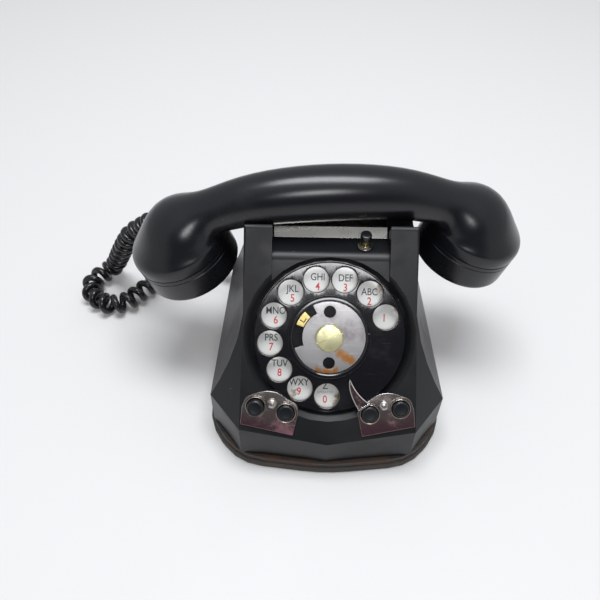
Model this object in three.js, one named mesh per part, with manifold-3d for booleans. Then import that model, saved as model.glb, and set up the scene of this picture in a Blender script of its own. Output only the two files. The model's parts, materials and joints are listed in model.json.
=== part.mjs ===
// Rotary desk telephone with a key button base, as an assembly of separate pieces.
// Millimetres. X to the right, Y to the back, Z up. The origin is under the middle of the base,
// on the table. "Slope" frames have their origin at the dial's centre on the front slope:
// x to the right, y up the slope and z straight out of it.

import * as THREE from 'three';
import { ConvexGeometry } from 'three/addons/geometries/ConvexGeometry.js';
import { mergeVertices } from 'three/addons/utils/BufferGeometryUtils.js';
import Module from 'manifold-3d';

const wasm = await Module();
wasm.setup();

// ---- Driving dimensions ---------------------------------------------------------------------

const GAP = 0.3;                 // between pieces that touch
const WALL = 3.2;                // moulded shell
const FINE = 30;                 // sides of a large round piece
const COARSE = 12;               // sides of a small round piece
const ARC_STEPS = 4;             // flats of a rounded corner

const PAD_HEIGHT = 4.5;
const PAD_LIP = 3.4;             // how far the pad stands out past the housing
const PLATE_HEIGHT = 4.1;
const PLATE_LIP = 2.2;
const PLATE_FLOOR = 1.9;         // thickness of the base plate inside its rim
const PLATE_RIM = 6;
const BASE_ROUNDING = 14;        // corner length of the pad and the base plate

const HALF_WIDTH = 67.2;         // at the widest corners
const WIDEST_Y = -44.2;
const CHAMFER_X = 49.2;
const CHAMFER_Y = -66.9;
const FRONT_Y = -72.4;           // point of the V front
const REAR_HALF_WIDTH = 62;
const REAR_SIDE_Y = 58;
const BACK_Y = 75;
const BACK_HALF_WIDTH = 47;
const SKIRT_TOP = 34.4;          // where the vertical skirt ends at the sides

const EAR_OUTER = 47.3;
const EAR_INNER = 32;
const EAR_TOP = 116.8;
const EAR_ROUNDING = 3.8;        // radius at the top of the ears' front
const PRONG_ROUNDING = 2.8;      // at the top of the ears' back
const FLARE_TOP = 82.7;          // where the flanks start to spread
const FLARE_POWER = 1.35;        // how hollow the flanks are
const FLARE_STEPS = 4;
const DECK_TOP = 104;
const DECK_ROUNDING = 8;         // radius where the deck turns down to the dial
const PANEL_DEPTH = 2.5;         // of the face between the ears, below the slope
const PANEL_FOOT = 30;           // slope y of its lower end, inside the dish
const REAR_PRONG = 5.2;          // thickness of the ear behind the grip
const REAR_SLOPE_TOP = 55;       // y at deck height
const REAR_SLOPE_FOOT = 44;      // z where the back turns vertical

const SLOPE_ANGLE = THREE.MathUtils.degToRad(47);
const DIAL_Y = -31;
const DIAL_Z = 73;
const CHEEK_Z = FLARE_TOP;       // top of the cheek facet on the ear's outer edge

const WHEEL_RADIUS = 41.3;
const WHEEL_THICKNESS = 2.2;
const WHEEL_HUB_RADIUS = 12;
const WHEEL_HUB_DEPTH = 4.4;
const RING_RADIUS = 23.1;        // raised ring round the card
const RING_HEIGHT = 1.4;
const CARD_RADIUS = 19.9;
const CARD_THICKNESS = 0.9;
const CARD_RECESS = 1.3;
const CARD_HOLE_RADIUS = 3.3;
const CARD_HOLE_PLACE = 14.2;
const CARD_NOTCH_RADIUS = 14.8;
const FINGER_HOLE_RADIUS = 6.9;
const FINGER_HOLE_PLACE = 32.6;
const FINGER_HOLE_COUNT = 10;
const FINGER_HOLE_FIRST = THREE.MathUtils.degToRad(21.3);
const FINGER_HOLE_PITCH = THREE.MathUtils.degToRad(27.5);
const NUMBER_PLATE_TOP = -5.4;
const NUMBER_PLATE_THICKNESS = 1;
const NUMBER_PLATE_CLEARANCE = 0.6;
const DISH_RADIUS = 47.2;        // at the slope
const DISH_WALL_RADIUS = 42;
const DISH_CONE_DEPTH = 4.5;
const DISH_DEPTH = 8.4;
const DIAL_HOLE_RADIUS = 38;
const DIAL_BOSS_WALL = 3.4;
const CUP_DEPTH = 26;
const CUP_WALL = 1.6;
const SHAFT_RADIUS = 3;
const RUNNING_CLEARANCE = 0.3;
const SCREW_HEAD_RADIUS = 7.8;
const SCREW_HEAD_HEIGHT = 2.6;

const GEAR_MODULE = 1;
const GEAR_TEETH = 40;
const PINION_TEETH = 8;
const GEAR_THICKNESS = 2;
const GEAR_PLACE = -13;          // slope z of the gear's upper face
const SPRING_STEPS = 24;
const PINION_ANGLE = THREE.MathUtils.degToRad(100);

const STOP_THICKNESS = 1.1;
const STOP_LIFT = 3.4;           // above the wheel
const STOP_ANGLE = THREE.MathUtils.degToRad(-61.5);
const STOP_FOOT_RADIUS = 42.15;
const STOP_FOOT_SIZE = [1, 7.6];
const STOP_FOOT_DEPTH = 5;

const KEY_RADIUS = 4.6;
const KEY_HEIGHT = 7.4;          // above the slope
const KEY_TRAVEL = 3.5;
const KEY_STEM_RADIUS = 2;
const KEY_STEM_LENGTH = 9;
const KEY_PLACES = [[39.8, -38.5], [23.1, -41.9]];
const KEY_PLATE_THICKNESS = 1.2;
const KEY_SCREW_PLACE = [30.8, -36.8];
const KEY_SCREW_RADIUS = 2.9;
const COLLAR_WALL = 0.9;
const COLLAR_HEIGHT = 1.3;

const BUTTON_PLACE = [18.8, 8.6];
const BUTTON_RADIUS = 3.1;
const BUTTON_HEIGHT = 9.6;
const BUTTON_CAP_HEIGHT = 4.2;
const BUTTON_STEM_RADIUS = 2;
const BUTTON_COLLAR_RADIUS = 4.25;
const BUTTON_COLLAR_HEIGHT = 2.2;
const BUTTON_TRAVEL = 3;

const GRIP_RADIUS = 15.6;
const HANDSET_SIDES = 22;
const GRIP_Y = 28.8;
const GRIP_Z = 124.8;
const SADDLE_SLACK = 2.6;          // extra saddle radius, for a handset laid slightly askew
const SADDLE_DROP = 5.5;         // how far the bowed grip sinks below its middle at the ears
const HANDSET_YAW = THREE.MathUtils.degToRad(3.6);
const HANDSET_ROLL = THREE.MathUtils.degToRad(-1.1);
const HANDSET_SHIFT = -1.8;      // laid a little to the left
const CUP_X = 84.65;
const CUP_RIM_Z = 89.7;
const CUP_RIM_RADIUS = 28.6;
const CUP_TILT = THREE.MathUtils.degToRad(18);
const CAP_HEIGHT = 18.6;
const CAP_FACE_RADIUS = 25.2;
const CAP_WALL = 3;
const CHAMBER_DEPTH = 6;
const CAPSULE_RADIUS = 22;
const CAPSULE_HEIGHT = 9;
const CAPSULE_FOOT = -11;        // along the cup's axis, from its rim
const BUSH_NECK_RADIUS = 3;
const BUSH_HEAD_RADIUS = 5.2;
const BUSH_HEAD_FOOT = 14;
const BUSH_LENGTH = 20;

const BAR_DROP = 2;              // the bar lies this far under the grip's middle
const BAR_THICKNESS = 1.6;
const BAR_SIDE_CLEARANCE = 0.6;
const PIVOT_Y = 45.2;
const PIVOT_Z = 107.8;
const PIVOT_RADIUS = 1.5;

const GONG_PLACE = [31, 40];
const GONG_RADIUS = 21;
const GONG_WALL = 1.6;
const GONG_HEIGHT = 11;
const GONG_BASE_Z = 25;
const CLAPPER_RADIUS = 3.5;
const COIL_RADIUS = 7.5;
const COIL_LENGTH = 26;
const COIL_PLACE = [10, 8];

const CORD_RADIUS = 7.5;         // outside of the curly cord's coil
const CORD_SIDES = 8;
const CORD_STEPS = 36;
const GLAND_RADIUS = 5;
const GLAND_LENGTH = 8;
const GLAND_Z = 17.5;

const BASE_SCREW_PLACES = [[-50, -38], [50, -38], [-50, 50], [50, 50]];
const BASE_SCREW_RADIUS = 2;
const BASE_SCREW_HEAD_RADIUS = 4;
const BASE_SCREW_LENGTH = 14;
const POST_RADIUS = 5.5;
const POST_HEIGHT = 14;
const POST_REACH = 17;            // from the post's middle out into the wall

// ---- Finishes -------------------------------------------------------------------------------

const finish = (color, roughness, metalness) => ({ color, roughness, metalness });
const BLACK_MOULDING = finish(0x1b1c20, 0.35, 0);
const BLACK_METAL = finish(0x16161a, 0.3, 0.2);
const STEEL = finish(0x8c8a86, 0.45, 0.9);
const RUSTY_STEEL = finish(0x4a3427, 0.8, 0.4);
const FELT = finish(0x2e2a26, 0.95, 0);
const CHROME = finish(0xc8c8c6, 0.2, 1);
const NICKEL = finish(0x9a8f92, 0.3, 0.9);
const BRASS = finish(0xc9b678, 0.4, 0.9);
const ENAMEL = finish(0xf2f2ee, 0.3, 0);
const ALUMINIUM = finish(0xa9a7a8, 0.4, 0.9);
const COPPER = finish(0x8a4b2c, 0.5, 0.6);
const RUBBER = finish(0x141416, 0.45, 0);

// ---- Shapes ---------------------------------------------------------------------------------

const vec = (x, y, z) => new THREE.Vector3(x, y, z);
const flat = (x, y) => new THREE.Vector2(x, y);
const shifted = (x, y, z) => new THREE.Matrix4().makeTranslation(x, y, z);

// A closed outline moved inwards by a distance; its points run anticlockwise.
function inset(outline, distance) {
  return outline.map((point, i) => {
    const before = outline[(i + outline.length - 1) % outline.length];
    const after = outline[(i + 1) % outline.length];
    const into = flat(point[0] - before[0], point[1] - before[1]).normalize();
    const out = flat(after[0] - point[0], after[1] - point[1]).normalize();
    const normalIn = flat(-into.y, into.x);
    const normalOut = flat(-out.y, out.x);
    const middle = normalIn.clone().add(normalOut).normalize();
    const reach = distance / middle.dot(normalIn);
    return [point[0] + middle.x * reach, point[1] + middle.y * reach];
  });
}

const shapeOf = (outline) => new THREE.Shape(outline.map(([x, y]) => flat(x, y)));

// An outline whose corners are cut back by a length and rounded.
function roundedShape(outline, length) {
  const shape = new THREE.Shape();
  outline.forEach((point, i) => {
    const corner = flat(...point);
    const before = flat(...outline[(i + outline.length - 1) % outline.length]);
    const after = flat(...outline[(i + 1) % outline.length]);
    const enter = corner.clone().lerp(before, Math.min(0.45, length / corner.distanceTo(before)));
    const leave = corner.clone().lerp(after, Math.min(0.45, length / corner.distanceTo(after)));
    if (i === 0) shape.moveTo(enter.x, enter.y);
    else shape.lineTo(enter.x, enter.y);
    shape.quadraticCurveTo(corner.x, corner.y, leave.x, leave.y);
  });
  shape.closePath();
  return shape;
}

function prism(shape, low, high, curveSegments = 3) {
  const geometry = new THREE.ExtrudeGeometry(shape,
    { depth: high - low, bevelEnabled: false, curveSegments });
  return geometry.translate(0, 0, low);
}

// A prism along X whose outline is given as y and z.
function prismAlongX(outline, low, high) {
  const turn = new THREE.Matrix4().makeBasis(vec(0, 1, 0), vec(0, 0, 1), vec(1, 0, 0));
  return prism(shapeOf(outline), low, high).applyMatrix4(turn);
}

function box(low, high) {
  const size = high.map((value, i) => value - low[i]);
  return new THREE.BoxGeometry(...size)
    .translate(...high.map((value, i) => (value + low[i]) / 2));
}

function rod(radius, low, high, sides = COARSE, topRadius = radius) {
  return new THREE.CylinderGeometry(topRadius, radius, high - low, sides)
    .rotateX(Math.PI / 2).translate(0, 0, (low + high) / 2);
}

// A turned piece; its profile is a closed loop of radius and height.
function turned(profile, sides = FINE) {
  const points = [...profile, profile[0]].map(([radius, height]) => flat(radius, height));
  return new THREE.LatheGeometry(points, sides).rotateX(Math.PI / 2);
}

const hull = (points) => new ConvexGeometry(points);

// A closed skin over a row of sections that all have the same number of points: a cylinder
// whose rings are moved onto the sections.
function loft(sections) {
  const rows = sections.length;
  const sides = sections[0].length;
  const geometry = new THREE.CylinderGeometry(1, 1, rows - 1, sides, rows - 1);
  const position = geometry.attributes.position;
  for (let i = 0; i < position.count; i += 1) {
    const point = vec().fromBufferAttribute(position, i);
    const section = sections[Math.round(point.y + (rows - 1) / 2)];
    const turn = Math.atan2(point.x, point.z) / (2 * Math.PI);
    const column = (Math.round(turn * sides) + sides) % sides;
    const target = Math.hypot(point.x, point.z) > 0.5 ? section[column]
      : section.reduce((sum, p) => sum.add(p), vec()).divideScalar(sides);
    position.setXYZ(i, target.x, target.y, target.z);
  }
  return geometry;
}

// The closed body behind a geometry, with its faces turned outwards.
function solidOf(geometry) {
  const bare = geometry.clone();
  bare.deleteAttribute('normal');
  bare.deleteAttribute('uv');
  const merged = mergeVertices(bare, 1e-4);
  const triangles = Array.from(merged.index.array);
  const kept = [];
  for (let i = 0; i < triangles.length; i += 3) {
    const [a, b, c] = triangles.slice(i, i + 3);
    if (a !== b && b !== c && c !== a) kept.push(a, b, c);
  }
  const position = merged.attributes.position;
  const corner = (index) => vec().fromBufferAttribute(position, index);
  let volume = 0;
  for (let i = 0; i < kept.length; i += 3) {
    volume += corner(kept[i]).dot(corner(kept[i + 1]).cross(corner(kept[i + 2])));
  }
  if (volume < 0) kept.reverse();
  return new wasm.Manifold(new wasm.Mesh({
    numProp: 3,
    vertProperties: new Float32Array(position.array),
    triVerts: new Uint32Array(kept),
  }));
}

function geometryOf(solid) {
  const mesh = solid.getMesh();
  const geometry = new THREE.BufferGeometry();
  geometry.setAttribute('position', new THREE.BufferAttribute(mesh.vertProperties, 3));
  geometry.setIndex(new THREE.BufferAttribute(mesh.triVerts, 1));
  return geometry;
}

const chained = (step) => (first, ...rest) => geometryOf(
  rest.reduce((whole, next) => step(whole, solidOf(next)), solidOf(first)));
const join = chained((whole, next) => whole.add(next));
const cut = chained((whole, next) => whole.subtract(next));
const common = chained((whole, next) => whole.intersect(next));

const tube = (outer, inner, low, high, sides = COARSE) => cut(
  rod(outer, low, high, sides), rod(inner, low - 1, high + 1, sides));

const model = new THREE.Group();

function place(name, geometry, look, parent = model) {
  const clean = geometryOf(solidOf(geometry));
  clean.computeVertexNormals();
  const mesh = new THREE.Mesh(clean, new THREE.MeshStandardMaterial(look));
  mesh.name = name;
  parent.add(mesh);
  return mesh;
}

// ---- Frames ---------------------------------------------------------------------------------

const slope = new THREE.Group();
slope.position.set(0, DIAL_Y, DIAL_Z);
slope.rotation.x = SLOPE_ANGLE;
slope.updateMatrix();
model.add(slope);

const handset = new THREE.Group();
handset.position.set(HANDSET_SHIFT, GRIP_Y, GRIP_Z);
handset.rotation.set(0, HANDSET_ROLL, HANDSET_YAW);
model.add(handset);

const onSlope = (geometry) => geometry.clone().applyMatrix4(slope.matrix);
const slopeHeight = (y) => DIAL_Z + (y - DIAL_Y) * Math.tan(SLOPE_ANGLE);
const slopeDepth = (z) => DIAL_Y + (z - DIAL_Z) / Math.tan(SLOPE_ANGLE);

// ---- Base -----------------------------------------------------------------------------------

const plateBottom = PAD_HEIGHT + GAP;
const plateTop = plateBottom + PLATE_HEIGHT;
const plateFloorTop = plateBottom + PLATE_FLOOR;
const housingBottom = plateTop + GAP;

const planOutline = [
  [0, FRONT_Y], [CHAMFER_X, CHAMFER_Y], [HALF_WIDTH, WIDEST_Y], [REAR_HALF_WIDTH, REAR_SIDE_Y],
  [BACK_HALF_WIDTH, BACK_Y], [-BACK_HALF_WIDTH, BACK_Y], [-REAR_HALF_WIDTH, REAR_SIDE_Y],
  [-HALF_WIDTH, WIDEST_Y], [-CHAMFER_X, CHAMFER_Y],
];
const baseShape = (lip) => roundedShape(inset(planOutline, -lip), BASE_ROUNDING);

function buildBase() {
  place('foot_pad', prism(baseShape(PAD_LIP), 0, PAD_HEIGHT), FELT);

  const screwBores = BASE_SCREW_PLACES.flatMap(([x, y]) => [
    rod(BASE_SCREW_RADIUS + GAP, 0, plateTop).translate(x, y, 0),
    rod(BASE_SCREW_HEAD_RADIUS + GAP, 0, plateBottom + PLATE_FLOOR / 2).translate(x, y, 0),
  ]);
  const hollow = prism(baseShape(PLATE_LIP - PLATE_RIM), plateFloorTop, plateTop + 1);
  place('base_plate',
    cut(prism(baseShape(PLATE_LIP), plateBottom, plateTop), hollow, ...screwBores),
    RUSTY_STEEL);

  BASE_SCREW_PLACES.forEach(([x, y], i) => {
    const headTop = plateBottom + PLATE_FLOOR / 2 - GAP;
    const screw = join(
      rod(BASE_SCREW_HEAD_RADIUS, plateBottom, headTop),
      rod(BASE_SCREW_RADIUS, plateBottom + GAP, plateBottom + BASE_SCREW_LENGTH, 12));
    place(`base_screw_${i + 1}`, screw.translate(x, y, 0), STEEL);
  });
}

// ---- Housing --------------------------------------------------------------------------------

// The rounding of a corner between the slope and a level top, from the top down.
function topArc(y, z, radius) {
  const middle = y + radius * Math.tan(SLOPE_ANGLE / 2);
  return Array.from({ length: ARC_STEPS + 1 }, (_, i) => {
    const angle = SLOPE_ANGLE * i / ARC_STEPS;
    return [middle - radius * Math.sin(angle), z - radius + radius * Math.cos(angle)];
  });
}

// The housing seen from the side, as y and z, running anticlockwise.
function sideOutline() {
  const prongBack = GRIP_Y + GRIP_RADIUS + SADDLE_SLACK + REAR_PRONG;
  return [
    [-100, -40], [BACK_Y, -40], [BACK_Y, REAR_SLOPE_FOOT], [REAR_SLOPE_TOP, DECK_TOP - 4],
    [prongBack, EAR_TOP - PRONG_ROUNDING], [prongBack - PRONG_ROUNDING, EAR_TOP],
    ...topArc(slopeDepth(EAR_TOP), EAR_TOP, EAR_ROUNDING),
    [-100, slopeHeight(-100)],
  ];
}

// A level section of the housing at a height, as a list of points.
function levelSection(z, shrink) {
  const spread = z <= SKIRT_TOP ? 1
    : Math.max(0, (FLARE_TOP - z) / (FLARE_TOP - SKIRT_TOP)) ** FLARE_POWER;
  const wide = (full) => EAR_OUTER + (full - EAR_OUTER) * spread;
  const outline = [
    [0, FRONT_Y], [CHAMFER_X - 2 * (1 - spread), CHAMFER_Y], [wide(HALF_WIDTH), WIDEST_Y],
    [wide(REAR_HALF_WIDTH), REAR_SIDE_Y], [BACK_HALF_WIDTH - 3 * (1 - spread), BACK_Y],
  ];
  const mirrored = outline.slice(1).reverse().map(([x, y]) => [-x, y]);
  return inset([...outline, ...mirrored], shrink).map(([x, y]) => vec(x, y, z));
}

// Everything outside a plane through three points.
function beyondPlane(a, b, c, shrink) {
  const normal = b.clone().sub(a).cross(c.clone().sub(a)).normalize();
  const turn = new THREE.Matrix4().lookAt(normal, vec(0, 0, 0), vec(0, 0, 1));
  return new THREE.BoxGeometry(300, 300, 100).translate(0, 0, 50 - shrink)
    .applyMatrix4(turn).translate(a.x, a.y, a.z);
}

// The housing's outside shape, or the same shape moved inwards all round.
function housingBody(shrink, bottom) {
  const levels = [bottom, SKIRT_TOP];
  for (let i = 1; i <= FLARE_STEPS; i += 1) {
    levels.push(SKIRT_TOP + (FLARE_TOP - SKIRT_TOP) * i / FLARE_STEPS);
  }
  levels.push(EAR_TOP + 1);
  const flanks = loft(levels.map((z) => levelSection(z, shrink)));
  const cheeks = [1, -1].map((side) => {
    const top = vec(side * EAR_OUTER, slopeDepth(CHEEK_Z), CHEEK_Z);
    const front = vec(side * CHAMFER_X, CHAMFER_Y, SKIRT_TOP);
    const wide = vec(side * HALF_WIDTH, WIDEST_Y, SKIRT_TOP);
    return side > 0 ? beyondPlane(top, front, wide, shrink)
      : beyondPlane(top, wide, front, shrink);
  });
  const profile = prismAlongX(inset(sideOutline(), shrink), -100, 100);
  return cut(common(flanks, profile), ...cheeks);
}

// The space between the ears, over the deck and the face below it, grown by a margin.
function betweenEars(margin) {
  const at = (y, z) => {
    const point = vec(0, y, z - margin).applyMatrix4(slope.matrix);
    return [point.y, point.z];
  };
  const deck = DECK_TOP - margin;
  const crease = slopeDepth(deck + (PANEL_DEPTH + margin) / Math.cos(SLOPE_ANGLE));
  const high = EAR_TOP + 20;
  const outline = [
    at(PANEL_FOOT, -PANEL_DEPTH), ...topArc(crease, deck, DECK_ROUNDING).reverse(),
    [BACK_Y + 10, deck], [BACK_Y + 10, high], [slopeDepth(deck) - 40, high],
    at(PANEL_FOOT, 10 + margin),
  ];
  return prismAlongX(outline, -EAR_INNER - margin, EAR_INNER + margin);
}

function stopFoot(clearance) {
  const [thick, wide] = STOP_FOOT_SIZE.map((size) => size / 2 + clearance);
  return box([STOP_FOOT_RADIUS - thick, -wide, -STOP_FOOT_DEPTH - clearance],
    [STOP_FOOT_RADIUS + thick, wide, STOP_LIFT + STOP_THICKNESS]).rotateZ(STOP_ANGLE);
}

// The outline of a key plate on the slope, for the side at +1 or -1.
function keyPlateShape(side) {
  const at = (x, y) => flat(x * side, y);
  const shape = new THREE.Shape();
  shape.moveTo(19.2 * side, -55);
  shape.lineTo(16.3 * side, -41.9);
  shape.splineThru([at(17.4, -37.4), at(22.1, -34.6), at(27.9, -30.9), at(33.7, -30),
    at(39.6, -31.3), at(44.9, -33.7), at(47.4, -39)]);
  shape.lineTo(48.3 * side, -48.9);
  shape.closePath();
  return shape;
}

function keyBore(side, [x, y], radius, depth) {
  return rod(radius, -depth, KEY_HEIGHT, COARSE).translate(side * x, y, 0);
}

function buildHousing() {
  const saddleRadius = GRIP_RADIUS + SADDLE_SLACK;
  const saddleZ = GRIP_Z + SADDLE_SLACK - SADDLE_DROP - GAP;
  const acrossEars = (radius) => rod(radius, -60, 60, FINE).rotateY(Math.PI / 2)
    .translate(0, GRIP_Y, saddleZ);
  const cavity = cut(housingBody(WALL, -5), betweenEars(WALL),
    acrossEars(saddleRadius + WALL));
  const shell = cut(housingBody(0, housingBottom), cavity);

  const bossDepth = DISH_DEPTH + DIAL_BOSS_WALL;
  const boss = onSlope(rod(DISH_RADIUS + 1.4, -bossDepth, 0, FINE));
  const posts = BASE_SCREW_PLACES.map(([x, y]) => {
    const outward = vec(Math.sign(x), Math.sign(y) * 0.4, 0).multiplyScalar(POST_REACH);
    return hull([
      ...ring(POST_RADIUS, housingBottom, 12).map((p) => p.add(vec(x, y, 0))),
      ...ring(POST_RADIUS, housingBottom + POST_HEIGHT, 12).map((p) => p.add(vec(x, y, 0))),
      ...[0, POST_HEIGHT].map((h) => vec(x, y, housingBottom + h).add(outward)),
    ]);
  });
  const inWall = common(join(boss, ...posts), housingBody(WALL / 2, housingBottom - 1));
  const solid = join(shell, inWall);

  const lands = [1, -1].map((side) => prism(keyPlateShape(side), -20, 20));
  const cone = turned([[0, 1], [DISH_RADIUS + 1, 1], [DISH_RADIUS, 0],
    [DISH_WALL_RADIUS, -DISH_CONE_DEPTH], [0, -DISH_CONE_DEPTH]]);
  const dish = join(cut(cone, ...lands), rod(DISH_WALL_RADIUS, -DISH_DEPTH, 1, FINE));
  const keyBores = [1, -1].flatMap((side) => [
    ...KEY_PLACES.flatMap((spot) => [
      keyBore(side, spot, KEY_RADIUS + GAP, KEY_TRAVEL + WALL + GAP),
      keyBore(side, spot, KEY_STEM_RADIUS + GAP, 30),
    ]),
    keyBore(side, KEY_SCREW_PLACE, 1.3 + GAP, 4),
  ]);
  const slopeCuts = [dish, rod(DIAL_HOLE_RADIUS, -40, 0, FINE), stopFoot(GAP), ...keyBores];

  const saddleMouth = box([-60, GRIP_Y - saddleRadius, saddleZ],
    [60, GRIP_Y + saddleRadius, EAR_TOP + 30]);
  const pivotBore = rod(PIVOT_RADIUS + GAP, -EAR_INNER - 2.4, EAR_INNER + 2.4, 16)
    .rotateY(Math.PI / 2).translate(0, PIVOT_Y, PIVOT_Z);
  const buttonBore = rod(BUTTON_STEM_RADIUS + GAP, 60, 130).translate(...BUTTON_PLACE, 0);
  const screwBores = BASE_SCREW_PLACES.map(([x, y]) => rod(
    BASE_SCREW_RADIUS + GAP, 0, plateBottom + BASE_SCREW_LENGTH + 1).translate(x, y, 0));
  const glandBore = alongGland(rod(GLAND_RADIUS - 1.4, -10, 10, 16));
  const inletBore = rod(3.2, -10, 10, 16).rotateX(Math.PI / 2).translate(0, BACK_Y, GLAND_Z);

  place('housing', cut(solid, ...slopeCuts.map(onSlope), betweenEars(0),
    acrossEars(saddleRadius), saddleMouth, pivotBore, buttonBore, ...screwBores, glandBore,
    inletBore), BLACK_MOULDING);
}

// Points round a level circle.
function ring(radius, z, sides) {
  return Array.from({ length: sides }, (_, i) => {
    const angle = 2 * Math.PI * i / sides;
    return vec(radius * Math.cos(angle), radius * Math.sin(angle), z);
  });
}

// ---- Dial -----------------------------------------------------------------------------------

// A disc sector between two angles in degrees.
function sector(inner, outer, from, to, low, high) {
  const shape = new THREE.Shape();
  const [start, end] = [from, to].map(THREE.MathUtils.degToRad);
  shape.absarc(0, 0, outer, start, end, false);
  shape.absarc(0, 0, inner, end, start, true);
  shape.closePath();
  return prism(shape, low, high, 8);
}

// A spur gear with straight-sided teeth; one tooth points along +X before the turn.
function gear(teeth, low, high, bore, turn) {
  const pitch = GEAR_MODULE * teeth / 2;
  const outline = [];
  for (let i = 0; i < teeth; i += 1) {
    const middle = 2 * Math.PI * i / teeth + turn;
    const step = 2 * Math.PI / teeth;
    [[-0.27, -1.2], [-0.1, 0.85], [0.1, 0.85], [0.27, -1.2]].forEach(([share, height]) => {
      const radius = pitch + height * GEAR_MODULE;
      const angle = middle + share * step;
      outline.push([radius * Math.cos(angle), radius * Math.sin(angle)]);
    });
  }
  return cut(prism(shapeOf(outline), low, high), rod(bore, low - 1, high + 1));
}

const numberPlateBottom = NUMBER_PLATE_TOP - NUMBER_PLATE_THICKNESS;
const cupFloor = -DISH_DEPTH - CUP_DEPTH + WALL;
const cupRadius = DIAL_HOLE_RADIUS - GAP;
const gearReach = GEAR_MODULE * (GEAR_TEETH + PINION_TEETH) / 2;
const governorPlace = [gearReach * Math.cos(PINION_ANGLE), gearReach * Math.sin(PINION_ANGLE)];

function buildDialFixedParts() {
  const flangeBottom = -DISH_DEPTH + GAP;
  const flangeTop = numberPlateBottom - GAP;
  const flangeRadius = DISH_WALL_RADIUS - GAP;
  const cup = turned([
    [cupRadius, flangeBottom], [flangeRadius, flangeBottom], [flangeRadius, flangeTop],
    [cupRadius - CUP_WALL, flangeTop], [cupRadius - CUP_WALL, cupFloor + CUP_WALL],
    [SHAFT_RADIUS + RUNNING_CLEARANCE, cupFloor + CUP_WALL],
    [SHAFT_RADIUS + RUNNING_CLEARANCE, cupFloor], [cupRadius, cupFloor],
  ]);
  const governorBore = rod(1.3 + RUNNING_CLEARANCE, cupFloor - 1, cupFloor + 3, 12)
    .translate(...governorPlace, 0);
  place('dial_cup', cut(cup, governorBore), BLACK_METAL, slope);

  place('number_plate', tube(DISH_WALL_RADIUS - NUMBER_PLATE_CLEARANCE,
    WHEEL_HUB_RADIUS + 1, numberPlateBottom, NUMBER_PLATE_TOP, FINE), ENAMEL, slope);

  const horn = new THREE.Shape();
  horn.moveTo(11.4, -21.5);
  horn.quadraticCurveTo(9.6, -28.4, 16.8, -39.6);
  horn.lineTo(23.2, -35.7);
  horn.quadraticCurveTo(15.4, -31.2, 11.4, -21.5);
  const blade = prism(horn, STOP_LIFT, STOP_LIFT + STOP_THICKNESS, 6);
  place('finger_stop', join(blade, stopFoot(0)), CHROME, slope);

  const spiral = [];
  const turns = 2.5;
  const strip = 0.7;
  [[0, 1], [strip, -1]].forEach(([offset, direction]) => {
    for (let i = 0; i <= SPRING_STEPS; i += 1) {
      const share = direction > 0 ? i / SPRING_STEPS : 1 - i / SPRING_STEPS;
      const radius = 5.5 + 5 * share + offset;
      const angle = 2 * Math.PI * turns * share;
      spiral.push([radius * Math.cos(angle), radius * Math.sin(angle)]);
    }
  });
  place('dial_return_spring', prism(shapeOf(spiral), cupFloor + 6.5, cupFloor + 11), STEEL, slope);

  const blades = [0, 2.4, 4.8].map((up) => box([-6, 21, cupFloor + 2.5 + up],
    [24, 25, cupFloor + 3.1 + up]));
  const stack = box([12, 20, cupFloor + CUP_WALL + GAP], [22, 27.5, cupFloor + 10]);
  place('pulse_contact_stack', join(stack, ...blades).rotateZ(Math.PI * 0.95), BRASS, slope);

  const drum = turned([[8.6, cupFloor - 9], [8.6, cupFloor - GAP], [2.2, cupFloor - GAP],
    [2.2, cupFloor - 1.6], [7.4, cupFloor - 1.6], [7.4, cupFloor - 9]], 24);
  place('governor_drum', drum.translate(...governorPlace, 0), BRASS, slope);
}

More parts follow.
